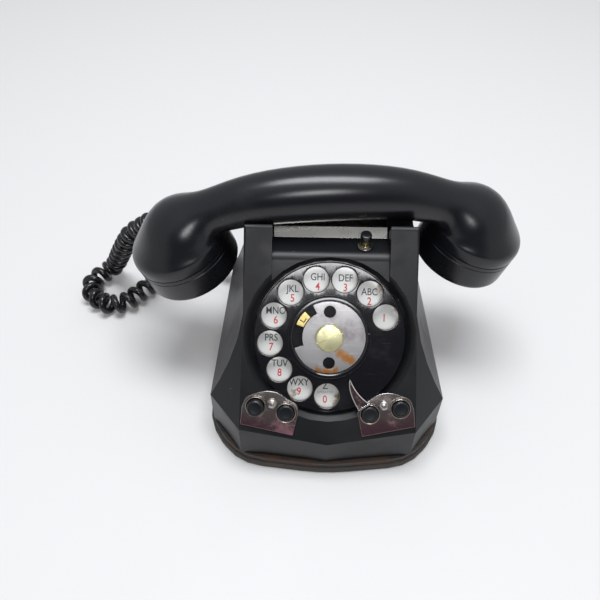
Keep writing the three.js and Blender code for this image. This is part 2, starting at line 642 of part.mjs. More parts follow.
function buildDialMovingParts() {
  const body = turned([
    [SHAFT_RADIUS + GAP, -CARD_RECESS], [SHAFT_RADIUS + GAP, -WHEEL_HUB_DEPTH],
    [WHEEL_HUB_RADIUS, -WHEEL_HUB_DEPTH], [WHEEL_HUB_RADIUS, -WHEEL_THICKNESS],
    [WHEEL_RADIUS, -WHEEL_THICKNESS], [WHEEL_RADIUS, 0],
    [RING_RADIUS, 0], [RING_RADIUS - 0.7, RING_HEIGHT], [CARD_RADIUS + 1, RING_HEIGHT],
    [CARD_RADIUS + GAP, -CARD_RECESS],
  ], FINE);
  const fingerHoles = Array.from({ length: FINGER_HOLE_COUNT }, (_, i) => {
    const angle = FINGER_HOLE_FIRST + i * FINGER_HOLE_PITCH;
    return rod(FINGER_HOLE_RADIUS, -WHEEL_HUB_DEPTH, RING_HEIGHT + 1, COARSE)
      .translate(FINGER_HOLE_PLACE * Math.cos(angle), FINGER_HOLE_PLACE * Math.sin(angle), 0);
  });
  place('finger_wheel', cut(body, ...fingerHoles), BLACK_METAL, slope);

  const cardLow = -CARD_RECESS + GAP;
  const cardHigh = cardLow + CARD_THICKNESS;
  const cardCuts = [
    rod(CARD_HOLE_RADIUS, -3, 3).translate(0, CARD_HOLE_PLACE, 0),
    rod(CARD_HOLE_RADIUS, -3, 3).translate(0, -CARD_HOLE_PLACE, 0),
    rod(2 + GAP, -3, 3),
    sector(CARD_NOTCH_RADIUS, CARD_RADIUS + 2, 118, 198, -3, 3),
  ];
  place('card_plate', cut(rod(CARD_RADIUS, cardLow, cardHigh, FINE), ...cardCuts),
    ALUMINIUM, slope);
  place('card_clamp', sector(CARD_NOTCH_RADIUS + GAP, CARD_RADIUS - GAP, 133, 160,
    cardLow, cardHigh), BRASS, slope);

  const headLow = cardHigh + GAP;
  const headHigh = headLow + SCREW_HEAD_HEIGHT;
  const head = join(
    turned([[0, headLow], [SCREW_HEAD_RADIUS, headLow], [SCREW_HEAD_RADIUS, headLow + 0.5],
      [SCREW_HEAD_RADIUS - 2.1, headHigh], [0, headHigh]], 24),
    rod(2, -CARD_RECESS - 1.2, headLow + 0.2, 12));
  const slot = box([-6.5, -0.5, headHigh - 0.9], [6.5, 0.5, headHigh + 1])
    .rotateZ(THREE.MathUtils.degToRad(20));
  place('dial_screw', cut(head, slot), BRASS, slope);

  const shaftTop = -CARD_RECESS - 1.2 - GAP;
  place('dial_shaft', rod(SHAFT_RADIUS, cupFloor - 3, shaftTop), STEEL, slope);
  const bore = SHAFT_RADIUS + GAP;
  place('main_gear', gear(GEAR_TEETH, GEAR_PLACE - GEAR_THICKNESS, GEAR_PLACE, bore,
    PINION_ANGLE), BRASS, slope);
  const camTop = GEAR_PLACE - GEAR_THICKNESS - GAP;
  const lobes = Array.from({ length: FINGER_HOLE_COUNT }, (_, i) => rod(
    2, camTop - 1.5, camTop, 6).translate(13.5, 0, 0)
    .rotateZ(FINGER_HOLE_FIRST + i * FINGER_HOLE_PITCH));
  place('pulse_cam', cut(join(rod(13.5, camTop - 1.5, camTop, FINE), ...lobes),
    rod(bore, camTop - 3, camTop + 1)), BRASS, slope);

  // A tooth of the gear points at the pinion, so a gap of the pinion points back at it.
  const pinionTurn = PINION_ANGLE + Math.PI + Math.PI / PINION_TEETH;
  const pinion = join(
    gear(PINION_TEETH, GEAR_PLACE - GEAR_THICKNESS - 1, GEAR_PLACE + 1, 0.6, pinionTurn),
    rod(1.3, cupFloor - 9, GEAR_PLACE + 3, 12));
  const weightsTop = cupFloor - 2.4;
  place('governor_pinion', pinion.translate(...governorPlace, 0), STEEL, slope);
  const weights = cut(
    join(box([-6.4, -1.6, weightsTop - 5], [6.4, 1.6, weightsTop]),
      tube(3, 1.3 + GAP, weightsTop - 5, weightsTop)),
    rod(1.3 + GAP, weightsTop - 6, weightsTop + 1, 12));
  place('governor_weights', weights.translate(...governorPlace, 0), BRASS, slope);
}

// ---- Keys -----------------------------------------------------------------------------------

function buildKeys() {
  const plateHigh = GAP + KEY_PLATE_THICKNESS;
  [[-1, 'left'], [1, 'right']].forEach(([side, word]) => {
    const bores = KEY_PLACES.map((spot) => keyBore(side, spot, KEY_RADIUS + GAP, 3));
    const screwBore = keyBore(side, KEY_SCREW_PLACE, 1.3 + GAP, 3);
    const plate = prism(keyPlateShape(side), GAP, plateHigh, 8);
    place(`key_plate_${word}`, cut(plate, ...bores, screwBore, stopFoot(GAP)), NICKEL, slope);

    const dome = turned([[0, plateHigh + GAP], [KEY_SCREW_RADIUS, plateHigh + GAP],
      [KEY_SCREW_RADIUS - 0.7, plateHigh + 1.3], [0, plateHigh + 1.9]], COARSE);
    const groove = box([-4, -0.35, plateHigh + 1.2], [4, 0.35, plateHigh + 4])
      .rotateZ(side * 0.9);
    const screw = cut(join(dome, rod(1.3, -3, plateHigh + 0.6, 12)), groove);
    place(`key_plate_screw_${word}`, screw.translate(side * KEY_SCREW_PLACE[0],
      KEY_SCREW_PLACE[1], 0), STEEL, slope);
  });

  const spots = [
    [-1, KEY_PLACES[0]], [-1, KEY_PLACES[1]], [1, KEY_PLACES[1]], [1, KEY_PLACES[0]]];
  spots.forEach(([side, [x, y]], i) => {
    const collar = tube(KEY_RADIUS + GAP + COLLAR_WALL, KEY_RADIUS + GAP,
      plateHigh + GAP, plateHigh + GAP + COLLAR_HEIGHT, 20);
    const collarCut = stopFoot(GAP).translate(-side * x, -y, 0);
    place(`key_collar_${i + 1}`, cut(collar, collarCut).translate(side * x, y, 0),
      NICKEL, slope);

    // The last key is latched down.
    const sunk = i === spots.length - 1 ? KEY_TRAVEL - GAP : 0;
    const button = join(
      turned([[0, -WALL], [KEY_RADIUS, -WALL], [KEY_RADIUS, KEY_HEIGHT - 0.8],
        [KEY_RADIUS - 0.8, KEY_HEIGHT], [0, KEY_HEIGHT]], 20),
      rod(KEY_STEM_RADIUS, -WALL - KEY_STEM_LENGTH, -WALL + 0.5, 12));
    place(`key_button_${i + 1}`, button.translate(side * x, y, -sunk), BLACK_MOULDING, slope);
  });
}

// ---- Top button and cradle --------------------------------------------------------------------

function buildTop() {
  const [x, y] = BUTTON_PLACE;
  const low = DECK_TOP + GAP;
  place('top_button_collar', tube(BUTTON_COLLAR_RADIUS, BUTTON_STEM_RADIUS + GAP, low,
    low + BUTTON_COLLAR_HEIGHT).translate(x, y, 0), NICKEL);
  const top = DECK_TOP + BUTTON_HEIGHT;
  const button = join(
    turned([[0, top - BUTTON_CAP_HEIGHT], [BUTTON_RADIUS, top - BUTTON_CAP_HEIGHT],
      [BUTTON_RADIUS, top - 0.6], [BUTTON_RADIUS - 0.6, top], [0, top]], 24),
    rod(BUTTON_STEM_RADIUS, DECK_TOP - 14, top - 1, 12));
  place('top_button', button.translate(x, y, 0), BLACK_MOULDING);

  const barHalf = EAR_INNER - BAR_SIDE_CLEARANCE;
  const barTop = GRIP_Z - GRIP_RADIUS - BAR_DROP;
  const barBottom = barTop - BAR_THICKNESS;
  const lipBottom = DECK_TOP + GAP + 0.4;
  const outline = [
    [14.4, lipBottom], [16.6, lipBottom], [21.6, barBottom], [PIVOT_Y, barBottom],
    [PIVOT_Y, barTop], [21.4, barTop], [20.4, barTop + 1.1], [19.6, barTop + 1.1],
  ];
  const plate = prismAlongX(outline, -barHalf, barHalf);
  const barrel = rod(PIVOT_RADIUS + 1.7, -barHalf, barHalf, 16)
    .rotateY(Math.PI / 2).translate(0, PIVOT_Y, PIVOT_Z);
  const bore = rod(PIVOT_RADIUS + GAP, -barHalf - 1, barHalf + 1, 16)
    .rotateY(Math.PI / 2).translate(0, PIVOT_Y, PIVOT_Z);
  place('cradle_bar', cut(join(plate, barrel), bore), CHROME);
  place('hook_pivot_pin', rod(PIVOT_RADIUS, -EAR_INNER - 2, EAR_INNER + 2, 16)
    .rotateY(Math.PI / 2).translate(0, PIVOT_Y, PIVOT_Z), STEEL);

  const blades = [0, 3, 6].map((up) => box([-16, 30, 84 + up], [16, 36, 84.6 + up]));
  place('hook_contact_stack', join(box([4, 28, 82], [16, 38, 94]), ...blades), BRASS);
}

// ---- Bell and circuit -------------------------------------------------------------------------

function buildInside() {
  const floor = plateFloorTop + GAP;
  const [gongX, gongY] = GONG_PLACE;
  const frameTop = GONG_BASE_Z - GAP;
  const frame = join(
    box([-gongX - 5, gongY - 5, floor], [gongX + 5, gongY + 5, floor + 2]),
    box([-14, -2, floor], [14, gongY, floor + 2]),
    ...[-1, 1].map((side) => rod(3, floor, frameTop, 16).translate(side * gongX, gongY, 0)),
    box([-4, 14, floor], [4, 18, GONG_BASE_Z - 2]));
  const bores = [-1, 1].map((side) => rod(1.2 + GAP, floor + 6, frameTop + 1, 12)
    .translate(side * gongX, gongY, 0));
  const clapperBore = rod(1 + GAP, floor + 3, GONG_BASE_Z, 12).translate(0, 16, 0);
  place('ringer_frame', cut(frame, ...bores, clapperBore), STEEL);

  [[-1, 'left'], [1, 'right']].forEach(([side, word]) => {
    const top = GONG_BASE_Z + GONG_HEIGHT;
    const gong = turned([
      [GONG_RADIUS, GONG_BASE_Z], [GONG_RADIUS - 0.4, GONG_BASE_Z + 5],
      [GONG_RADIUS - 4, top - 2], [12, top], [1.2 + GAP, top], [1.2 + GAP, top - GONG_WALL],
      [11.6, top - GONG_WALL], [GONG_RADIUS - 5, top - 3.4],
      [GONG_RADIUS - GONG_WALL - 0.4, GONG_BASE_Z + 5], [GONG_RADIUS - GONG_WALL, GONG_BASE_Z],
    ], 18);
    place(`gong_${word}`, gong.translate(side * gongX, gongY, 0), NICKEL);
    const screw = join(rod(4, top + GAP, top + 2.2, 16), rod(1.2, floor + 7, top + 1, 12));
    place(`gong_screw_${word}`, screw.translate(side * gongX, gongY, 0), STEEL);

    const coilLow = floor + 2 + GAP;
    place(`ringer_coil_${word}`, tube(COIL_RADIUS, 2.4, coilLow, coilLow + COIL_LENGTH, 24)
      .translate(side * COIL_PLACE[0], COIL_PLACE[1], 0), COPPER);
  });

  const armZ = GONG_BASE_Z + 3;
  const clapper = join(
    rod(1, floor + 4, armZ + 1, 12).translate(0, 16, 0),
    box([-0.8, 16, armZ - 1], [0.8, gongY, armZ + 1]),
    new THREE.SphereGeometry(CLAPPER_RADIUS, 12, 8).translate(0, gongY, armZ));
  place('clapper', clapper, BRASS);

  place('condenser', box([-54, -8, floor], [-26, 12, floor + 30]), ALUMINIUM);
  const core = join(
    rod(6.5, -20, 20, 24).rotateX(Math.PI / 2),
    box([-8, 17, -8], [8, 20, 8]), box([-8, -20, -8], [8, -17, 8]));
  place('induction_coil', core.translate(40, -6, floor + 8), COPPER);
  const block = box([-24, 62, floor], [24, 70, floor + 9]);
  const terminals = [-18, -6, 6, 18].map((x) => rod(2, floor + 8, floor + 11, 12)
    .translate(x, 66, 0));
  place('terminal_block', join(block, ...terminals), BLACK_MOULDING);
}

// ---- Handset ----------------------------------------------------------------------------------

// Half of the grip and neck as discs: x, z, radius and lean of each disc, from the middle out.
// Sections of the handset from the grip's middle out to the right cup: the far end of each
// section's middle line as x and z, then its near end.
const gripSections = [
  [0, GRIP_RADIUS, 0, -GRIP_RADIUS], [16.5, 15, 15.5, -15.8], [33.3, 13.1, 30.7, -16.3],
  [48.7, 9.7, 43.3, -17.6], [62, 4.6, 52.2, -19.9], [72.5, 0, 55.8, -19.9],
  [83, -2.8, 57.6, -19.8], [92.5, -5.6, 58.4, -19.7], [100, -11.2, 58.8, -19.7],
  [105, -18.8, 59.1, -19.7], [109.8, -28.6, 59.3, -19.7], [113, -34, 59.45, -19.75],
  [114, -37, 59.4, -20.1], [113.3, -40.3, 58.8, -22],
];

// Points round a round section whose middle line runs between two places in the plane of x, z.
function sectionPoints([farX, farZ, nearX, nearZ], side) {
  const reach = vec(farX - nearX, 0, farZ - nearZ);
  const radius = reach.length() / 2;
  return ring(radius, 0, HANDSET_SIDES).map((p) => vec(
    side * ((farX + nearX) / 2 + p.x * reach.x / (2 * radius)), p.y,
    (farZ + nearZ) / 2 + p.x * reach.z / (2 * radius)));
}

// The frame of a cup: origin at its rim's centre, z along its axis into the handset.
function cupMatrix(side) {
  return shifted(side * CUP_X, 0, CUP_RIM_Z - GRIP_Z)
    .multiply(new THREE.Matrix4().makeRotationY(side * CUP_TILT));
}

// The sections from the grip's middle out to the rim of the cup on one side.
function handsetSections(side) {
  const rim = ring(CUP_RIM_RADIUS, 0, HANDSET_SIDES)
    .map((p) => vec(side * p.x, p.y, p.z).applyMatrix4(cupMatrix(side)));
  return [...gripSections.map((section) => sectionPoints(section, side)), rim];
}

const exitDirection = vec(-0.62, 0.45, -0.64).normalize();
const bushFoot = vec(-CUP_X - 5.35, 22, CUP_RIM_Z - GRIP_Z + 5.6);

// A piece built along z, turned to a direction and moved to a point.
function aimed(geometry, direction, point) {
  const turn = new THREE.Quaternion().setFromUnitVectors(vec(0, 0, 1), direction);
  return geometry.clone().applyQuaternion(turn).translate(point.x, point.y, point.z);
}

function buildHandset() {
  const chamberRadius = CUP_RIM_RADIUS - CAP_WALL;
  const chambers = [1, -1].map((side) => rod(chamberRadius - 1, -1, CHAMBER_DEPTH, HANDSET_SIDES)
    .applyMatrix4(cupMatrix(side)));
  const bushBore = aimed(rod(BUSH_NECK_RADIUS + GAP, -12, 20, 16), exitDirection,
    bushFoot);
  const outside = loft([...handsetSections(-1).slice(1).reverse(), ...handsetSections(1)]);
  place('handset_body', cut(outside, ...chambers, bushBore), BLACK_MOULDING, handset);

  const bush = join(rod(BUSH_NECK_RADIUS, 0, BUSH_HEAD_FOOT + 1, 16),
    rod(BUSH_HEAD_RADIUS, BUSH_HEAD_FOOT, BUSH_LENGTH, 16));
  place('handset_cord_bush', aimed(bush, exitDirection, bushFoot), RUBBER, handset);

  [[1, 'ear_cap', 'receiver_capsule'], [-1, 'mouth_cap', 'transmitter_capsule']]
    .forEach(([side, capName, capsuleName]) => {
      const outer = CUP_RIM_RADIUS;
      const shell = turned([
        [outer, -GAP], [outer, -CAP_HEIGHT + 4], [outer - 0.9, -CAP_HEIGHT + 1.4],
        [CAP_FACE_RADIUS, -CAP_HEIGHT], [0, -CAP_HEIGHT + 1.6], [0, -CAP_HEIGHT + 1.6 + CAP_WALL],
        [CAP_FACE_RADIUS - 1.5, -CAP_HEIGHT + CAP_WALL],
        [outer - CAP_WALL, -CAP_HEIGHT + CAP_WALL + 2.4], [outer - CAP_WALL, -GAP],
      ], HANDSET_SIDES);
      const holes = [0, 1, 2, 3, 4, 5].map((i) => rod(2.2, -20, 0, 8)
        .translate(9, 0, 0).rotateZ(i * Math.PI / 3));
      const cap = cut(shell, rod(2.2, -20, 0, 8), ...holes);
      place(capName, cap.applyMatrix4(cupMatrix(side)), BLACK_MOULDING, handset);
      const capsuleTop = CAPSULE_FOOT + CAPSULE_HEIGHT;
      const capsule = join(rod(CAPSULE_RADIUS, CAPSULE_FOOT, capsuleTop, 24),
        rod(CAPSULE_RADIUS - 7, capsuleTop, capsuleTop + 4, 16));
      place(capsuleName, capsule.applyMatrix4(cupMatrix(side)), ALUMINIUM, handset);
    });
}

// ---- Cord -------------------------------------------------------------------------------------

// The gland stands on the rear left chamfer of the housing, square to it.
const chamferAlong = vec(REAR_HALF_WIDTH - BACK_HALF_WIDTH, BACK_Y - REAR_SIDE_Y, 0);
const glandDirection = vec(-chamferAlong.y, chamferAlong.x, 0).normalize();
const glandFoot = vec(-(REAR_HALF_WIDTH + BACK_HALF_WIDTH) / 2, (REAR_SIDE_Y + BACK_Y) / 2,
  GLAND_Z);

function alongGland(geometry) {
  return aimed(geometry, glandDirection, glandFoot);
}

// The curly cord's centre line, from the handset's bush round behind the left cup to the gland.
const cordRoute = [
  [-105.4, 53.5, 80.2], [-111.5, 56.8, 74.3], [-118.5, 60, 67], [-127, 62.5, 59], [-134, 66, 47],
  [-140.5, 71, 34], [-146.5, 76, 21], [-152, 77.5, 11.5], [-158, 74.5, 8], [-163.5, 68, 7.8],
  [-165.5, 59, 7.8], [-159, 50, 7.8], [-149, 44.5, 7.8], [-138.5, 47, 7.8],
  [-130, 55.5, 7.8], [-121, 66, 7.8], [-108, 76, 8.2], [-92, 83.5, 10.5], [-76.5, 83, 15],
  [-66.8, 77.2, 17.3], [-60.9, 72.2, 17.5],
];

function buildCord() {
  const gland = join(rod(GLAND_RADIUS - 1.7, -WALL - 2, 1, 16),
    rod(GLAND_RADIUS, GAP, GLAND_LENGTH, 16));
  place('handset_cord_gland', alongGland(gland), RUBBER);
  const inlet = join(rod(2.9, -4, 5, 16), rod(5, -WALL, 0, 16).translate(0, 0, 3.5));
  place('line_cord_inlet', inlet.rotateX(-Math.PI / 2).translate(0, BACK_Y, GLAND_Z), RUBBER);

  const route = new THREE.CatmullRomCurve3(cordRoute.map((point) => vec(...point)));
  const section = new THREE.Shape();
  for (let i = 0; i < CORD_SIDES; i += 1) {
    const angle = 2 * Math.PI * i / CORD_SIDES;
    const corner = [CORD_RADIUS * Math.cos(angle), CORD_RADIUS * Math.sin(angle)];
    if (i === 0) section.moveTo(...corner);
    else section.lineTo(...corner);
  }
  section.closePath();
  place('handset_cord', new THREE.ExtrudeGeometry(section,
    { steps: CORD_STEPS, extrudePath: route }), RUBBER);
}

buildBase();
buildHousing();
buildDialFixedParts();
buildDialMovingParts();
buildKeys();
buildTop();
buildInside();
buildHandset();
buildCord();

export default model;
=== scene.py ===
"""The looks of a rotary desk telephone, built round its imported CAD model.

The world is in metres: X to the right, Y to the back, Z up, and the table at z = 0. Pieces are
shaped in millimetres and brought to metres when they are placed. "Slope" places have their
origin at the dial's centre, with x to the right, y up the slope and z out of it.
"""

import json
import logging
import math
from dataclasses import dataclass
from enum import Enum
from typing import Callable, Iterable, Sequence

import bmesh
import bpy
from mathutils import Matrix, Vector


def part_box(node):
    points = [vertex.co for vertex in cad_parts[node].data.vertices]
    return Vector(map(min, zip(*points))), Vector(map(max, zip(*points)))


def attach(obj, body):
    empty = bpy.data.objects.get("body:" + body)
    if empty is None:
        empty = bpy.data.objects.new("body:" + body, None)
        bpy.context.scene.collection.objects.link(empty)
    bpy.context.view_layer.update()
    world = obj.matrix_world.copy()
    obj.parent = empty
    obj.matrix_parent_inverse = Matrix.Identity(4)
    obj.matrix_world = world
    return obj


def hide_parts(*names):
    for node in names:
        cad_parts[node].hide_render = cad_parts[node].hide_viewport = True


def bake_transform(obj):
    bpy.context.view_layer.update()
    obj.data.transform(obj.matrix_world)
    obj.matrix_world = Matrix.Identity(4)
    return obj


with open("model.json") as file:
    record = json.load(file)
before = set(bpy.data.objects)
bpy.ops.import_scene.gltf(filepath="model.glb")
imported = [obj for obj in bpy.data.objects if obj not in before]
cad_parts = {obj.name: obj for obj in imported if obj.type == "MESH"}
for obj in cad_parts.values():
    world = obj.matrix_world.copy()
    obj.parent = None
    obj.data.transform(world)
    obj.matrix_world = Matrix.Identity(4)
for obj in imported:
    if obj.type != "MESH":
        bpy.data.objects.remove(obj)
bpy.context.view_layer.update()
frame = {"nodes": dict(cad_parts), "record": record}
LOG = logging.getLogger("telephone")
MM = 0.001
TO_METRES = Matrix.Scale(MM, 4)
Profile = Sequence[tuple[float, float]]
Colour = tuple[float, float, float]


class Body(Enum):
    """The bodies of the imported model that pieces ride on."""

    PHONE = "phone"
    DIAL = "dial"
    HANDSET = "handset"
    CRADLE = "cradle"
    HOOK_BUTTON = "hook_button"


# ---- Mesh work ------------------------------------------------------------------------------


def spun(profile: Profile, steps: int = 64, closed: bool = False) -> bmesh.types.BMesh:
    """Turns a profile round Z.

    Args:
        profile: radius and height of each point, from axis to axis unless it is closed.
        steps: sides of the turned body.
        closed: whether the last point joins the first.

    Returns:
        The turned body, with its faces pointing out.
    """
    bm = bmesh.new()
    verts = [bm.verts.new((radius, 0, height)) for radius, height in profile]
    pairs = list(zip(verts, verts[1:]))
    if closed:
        pairs.append((verts[-1], verts[0]))
    edges = [bm.edges.new(pair) for pair in pairs]
    bmesh.ops.spin(bm, geom=verts + edges, cent=(0, 0, 0), axis=(0, 0, 1), angle=math.tau,
                   steps=steps, use_merge=True)
    bmesh.ops.remove_doubles(bm, verts=bm.verts[:], dist=1e-4)
    bmesh.ops.recalc_face_normals(bm, faces=bm.faces[:])
    return bm


def plate(outline: Profile, holes: Iterable[tuple[float, float, float]], low: float,
          high: float, hole_sides: int = 32) -> bmesh.types.BMesh:
    """A flat plate with round holes.

    Args:
        outline: the plate's edge, as x and y.
        holes: x, y and radius of each hole.
        low: height of the plate's underside.
        high: height of its upper side.
        hole_sides: sides of each hole.

    Returns:
        The closed plate.
    """
    bm = bmesh.new()
    verts = [bm.verts.new((x, y, low)) for x, y in outline]
    for pair in zip(verts, verts[1:] + verts[:1]):
        bm.edges.new(pair)
    for x, y, radius in holes:
        bmesh.ops.create_circle(bm, cap_ends=False, segments=hole_sides, radius=radius,
                                matrix=Matrix.Translation((x, y, low)))
    bmesh.ops.triangle_fill(bm, edges=bm.edges[:], use_beauty=True, normal=(0, 0, 1))
    grown = bmesh.ops.extrude_face_region(bm, geom=bm.faces[:])
    lifted = [item for item in grown["geom"] if isinstance(item, bmesh.types.BMVert)]
    bmesh.ops.translate(bm, verts=lifted, vec=(0, 0, high - low))
    bmesh.ops.recalc_face_normals(bm, faces=bm.faces[:])
    return bm


def ring_points(radius: float, sides: int) -> list[tuple[float, float]]:
    """Points of a flat circle round the origin."""
    return [(radius * math.cos(math.tau * i / sides), radius * math.sin(math.tau * i / sides))
            for i in range(sides)]


def soften(bm: bmesh.types.BMesh, width: float, segments: int = 3,
           sharp: float = 40) -> bmesh.types.BMesh:
    """Rounds every edge that turns by more than an angle.

    Args:
        bm: the body.
        width: how far each rounding reaches from its edge.
        segments: steps across each rounding.
        sharp: the angle in degrees above which an edge is rounded.

    Returns:
        The same body.
    """
    edges = [edge for edge in bm.edges
             if len(edge.link_faces) == 2 and edge.calc_face_angle(0) > math.radians(sharp)]
    bmesh.ops.bevel(bm, geom=edges, offset=width, offset_type="OFFSET", affect="EDGES",
                    segments=segments, profile=0.5, material=-1, clamp_overlap=True)
    return bm


def joined(*parts: bmesh.types.BMesh) -> bmesh.types.BMesh:
    """Several bodies as one mesh, without a union of their surfaces."""
    whole = parts[0]
    for part in parts[1:]:
        mesh = bpy.data.meshes.new("part")
        part.to_mesh(mesh)
        whole.from_mesh(mesh)
        bpy.data.meshes.remove(mesh)
    return whole


def moved(bm: bmesh.types.BMesh, matrix: Matrix) -> bmesh.types.BMesh:
    """The same body, moved by a matrix."""
    bmesh.ops.transform(bm, matrix=matrix, verts=bm.verts[:])
    return bm


def carved(bm: bmesh.types.BMesh, tools: Sequence[bmesh.types.BMesh],
           operation: str = "DIFFERENCE") -> bmesh.types.BMesh:
    """Cuts tools out of a body, or joins them to it.

    Args:
        bm: the body.
        tools: the closed bodies to cut away or to join.
        operation: the Boolean modifier's operation.

    Returns:
        The resulting body.
    """
    objects = []
    for shape in (bm, *tools):
        mesh = bpy.data.meshes.new("shape")
        shape.to_mesh(mesh)
        objects.append(bpy.data.objects.new("shape", mesh))
        bpy.context.scene.collection.objects.link(objects[-1])
    for tool in objects[1:]:
        modifier = objects[0].modifiers.new("carve", "BOOLEAN")
        modifier.operation = operation
        modifier.solver = "EXACT"
        modifier.object = tool
    depsgraph = bpy.context.evaluated_depsgraph_get()
    mesh = bpy.data.meshes.new_from_object(objects[0].evaluated_get(depsgraph))
    result = bmesh.new()
    result.from_mesh(mesh)
    for item in objects:
        data = item.data
        bpy.data.objects.remove(item)
        bpy.data.meshes.remove(data)
    bpy.data.meshes.remove(mesh)
    bmesh.ops.remove_doubles(result, verts=result.verts[:], dist=1e-4)
    return result


def cad_copy(node: str) -> bmesh.types.BMesh:
    """A CAD node's own shape, merged, with its flat faces whole, in millimetres."""
    bm = bmesh.new()
    bm.from_mesh(frame["nodes"][node].data)
    bmesh.ops.scale(bm, vec=(1 / MM, 1 / MM, 1 / MM), verts=bm.verts[:])
    bmesh.ops.remove_doubles(bm, verts=bm.verts[:], dist=2e-3)
    bmesh.ops.dissolve_limit(bm, angle_limit=math.radians(0.6), verts=bm.verts[:],
                             edges=bm.edges[:])
    return bm


def smooth_line(points: Sequence[Sequence[float]], steps: int) -> list[Vector]:
    """A smooth line through points, by centripetal Catmull-Rom.

    Args:
        points: the points that the line passes through.
        steps: how many steps lie between two of them.

    Returns:
        The points of the line, both ends included.
    """
    knots = [Vector(point) for point in points]
    knots = [2 * knots[0] - knots[1], *knots, 2 * knots[-1] - knots[-2]]
    line = []
    for i in range(1, len(knots) - 2):
        p0, p1, p2, p3 = knots[i - 1:i + 3]
        t1 = (p1 - p0).length ** 0.5
        t2 = t1 + (p2 - p1).length ** 0.5
        t3 = t2 + (p3 - p2).length ** 0.5
        for step in range(steps):
            t = t1 + (t2 - t1) * step / steps
            a1 = p0.lerp(p1, t / t1)
            a2 = p1.lerp(p2, (t - t1) / (t2 - t1))
            a3 = p2.lerp(p3, (t - t2) / (t3 - t2))
            b1 = a1.lerp(a2, t / t2)
            b2 = a2.lerp(a3, (t - t1) / (t3 - t1))
            line.append(b1.lerp(b2, (t - t1) / (t2 - t1)))
    return [*line, knots[-2]]


# ---- Node work ------------------------------------------------------------------------------


@dataclass
class Sheet:
    """A node tree being drawn, with short calls for its nodes."""

    tree: bpy.types.NodeTree

    def node(self, kind: str, inputs: dict | None = None, **settings: object) -> bpy.types.Node:
        """Adds a node.

        Args:
            kind: the node's type name.
            inputs: a value or an output socket for each input, by name or place.
            settings: the node's own properties.

        Returns:
            The new node.
        """
        node = self.tree.nodes.new(kind)
        for name, value in settings.items():
            setattr(node, name, value)
        for key, value in (inputs or {}).items():
            if isinstance(value, bpy.types.NodeSocket):
                self.tree.links.new(value, node.inputs[key])
            else:
                node.inputs[key].default_value = value
        return node

    def maths(self, operation: str, a: object, b: object = 0.0) -> bpy.types.NodeSocket:
        """One sum of two values."""
        node = self.node("ShaderNodeMath", {0: a, 1: b}, operation=operation, use_clamp=False)
        return node.outputs[0]

    def blend(self, mask: object, a: object, b: object) -> bpy.types.NodeSocket:
        """Turns one colour into another as a mask rises.

        Args:
            mask: 0 where the first colour shows and 1 where the second does.
            a: the first colour.
            b: the second colour.

        Returns:
            The mixed colour.
        """
        node = self.node("ShaderNodeMix", data_type="RGBA")
        for place, value in ((0, mask), (6, a), (7, b)):
            if isinstance(value, bpy.types.NodeSocket):
                self.tree.links.new(value, node.inputs[place])
            else:
                node.inputs[place].default_value = value if place == 0 else (*value, 1)
        return node.outputs[2]

    def span(self, value: object, low: float, high: float, to_low: float = 0.0,
             to_high: float = 1.0) -> bpy.types.NodeSocket:
        """Brings a value smoothly from one span to another.

        Args:
            value: the value.
            low: where the first span starts.
            high: where it ends.
            to_low: what the value is below the first span.
            to_high: what it is above it.

        Returns:
            The value in the second span.
        """
        node = self.node("ShaderNodeMapRange", {"Value": value, "From Min": low,
                                                "From Max": high, "To Min": to_low,
                                                "To Max": to_high},
                         interpolation_type="SMOOTHSTEP")
        return node.outputs[0]

    def group(self, tree: bpy.types.NodeTree, inputs: dict) -> bpy.types.NodeSocket:
        """Places a shared effect and gives its first output."""
        return self.node("ShaderNodeGroup", inputs, node_tree=tree).outputs[0]


def effect(name: str, inputs: dict[str, float], draw: Callable[[Sheet, bpy.types.Node],
           bpy.types.NodeSocket]) -> bpy.types.NodeTree:
    """Makes a shared effect: a node group with a Vector input, named values and one mask.

    Args:
        name: the group's name.
        inputs: each value input and what it is by default.
        draw: draws the effect from the group's inputs and gives the mask's socket.

    Returns:
        The node group.
    """
    tree = bpy.data.node_groups.new(name, "ShaderNodeTree")
    tree.interface.new_socket("Vector", in_out="INPUT", socket_type="NodeSocketVector")
    for key, value in inputs.items():
        socket = tree.interface.new_socket(key, in_out="INPUT", socket_type="NodeSocketFloat")
        socket.default_value = value
    tree.interface.new_socket("Mask", in_out="OUTPUT", socket_type="NodeSocketFloat")
    sheet = Sheet(tree)
    source = sheet.node("NodeGroupInput")
    mask = draw(sheet, source)
    sheet.node("NodeGroupOutput", {"Mask": mask})
    return tree


def draw_blotches(sheet: Sheet, source: bpy.types.Node) -> bpy.types.NodeSocket:
    """Soft irregular patches."""
    noise = sheet.node("ShaderNodeTexNoise", {"Vector": source.outputs["Vector"],
                                              "Scale": source.outputs["Scale"],
                                              "Detail": 6.0, "Roughness": 0.62})
    value = sheet.maths("SUBTRACT", noise.outputs[0], source.outputs["Threshold"])
    return sheet.span(sheet.maths("DIVIDE", value, source.outputs["Softness"]), 0, 1)


def draw_specks(sheet: Sheet, source: bpy.types.Node) -> bpy.types.NodeSocket:
    """Small scattered dust specks of uneven size."""
    cells = sheet.node("ShaderNodeTexVoronoi", {"Vector": source.outputs["Vector"],
                                                "Scale": source.outputs["Scale"],
                                                "Randomness": 1.0})
    sizes = sheet.node("ShaderNodeTexNoise", {"Vector": source.outputs["Vector"],
                                              "Scale": 90.0, "Detail": 2.0})
    reach = sheet.maths("MULTIPLY", source.outputs["Size"],
                        sheet.span(sizes.outputs[0], 0.48, 0.72))
    inside = sheet.maths("SUBTRACT", reach, cells.outputs["Distance"])
    return sheet.span(inside, 0, 0.02)


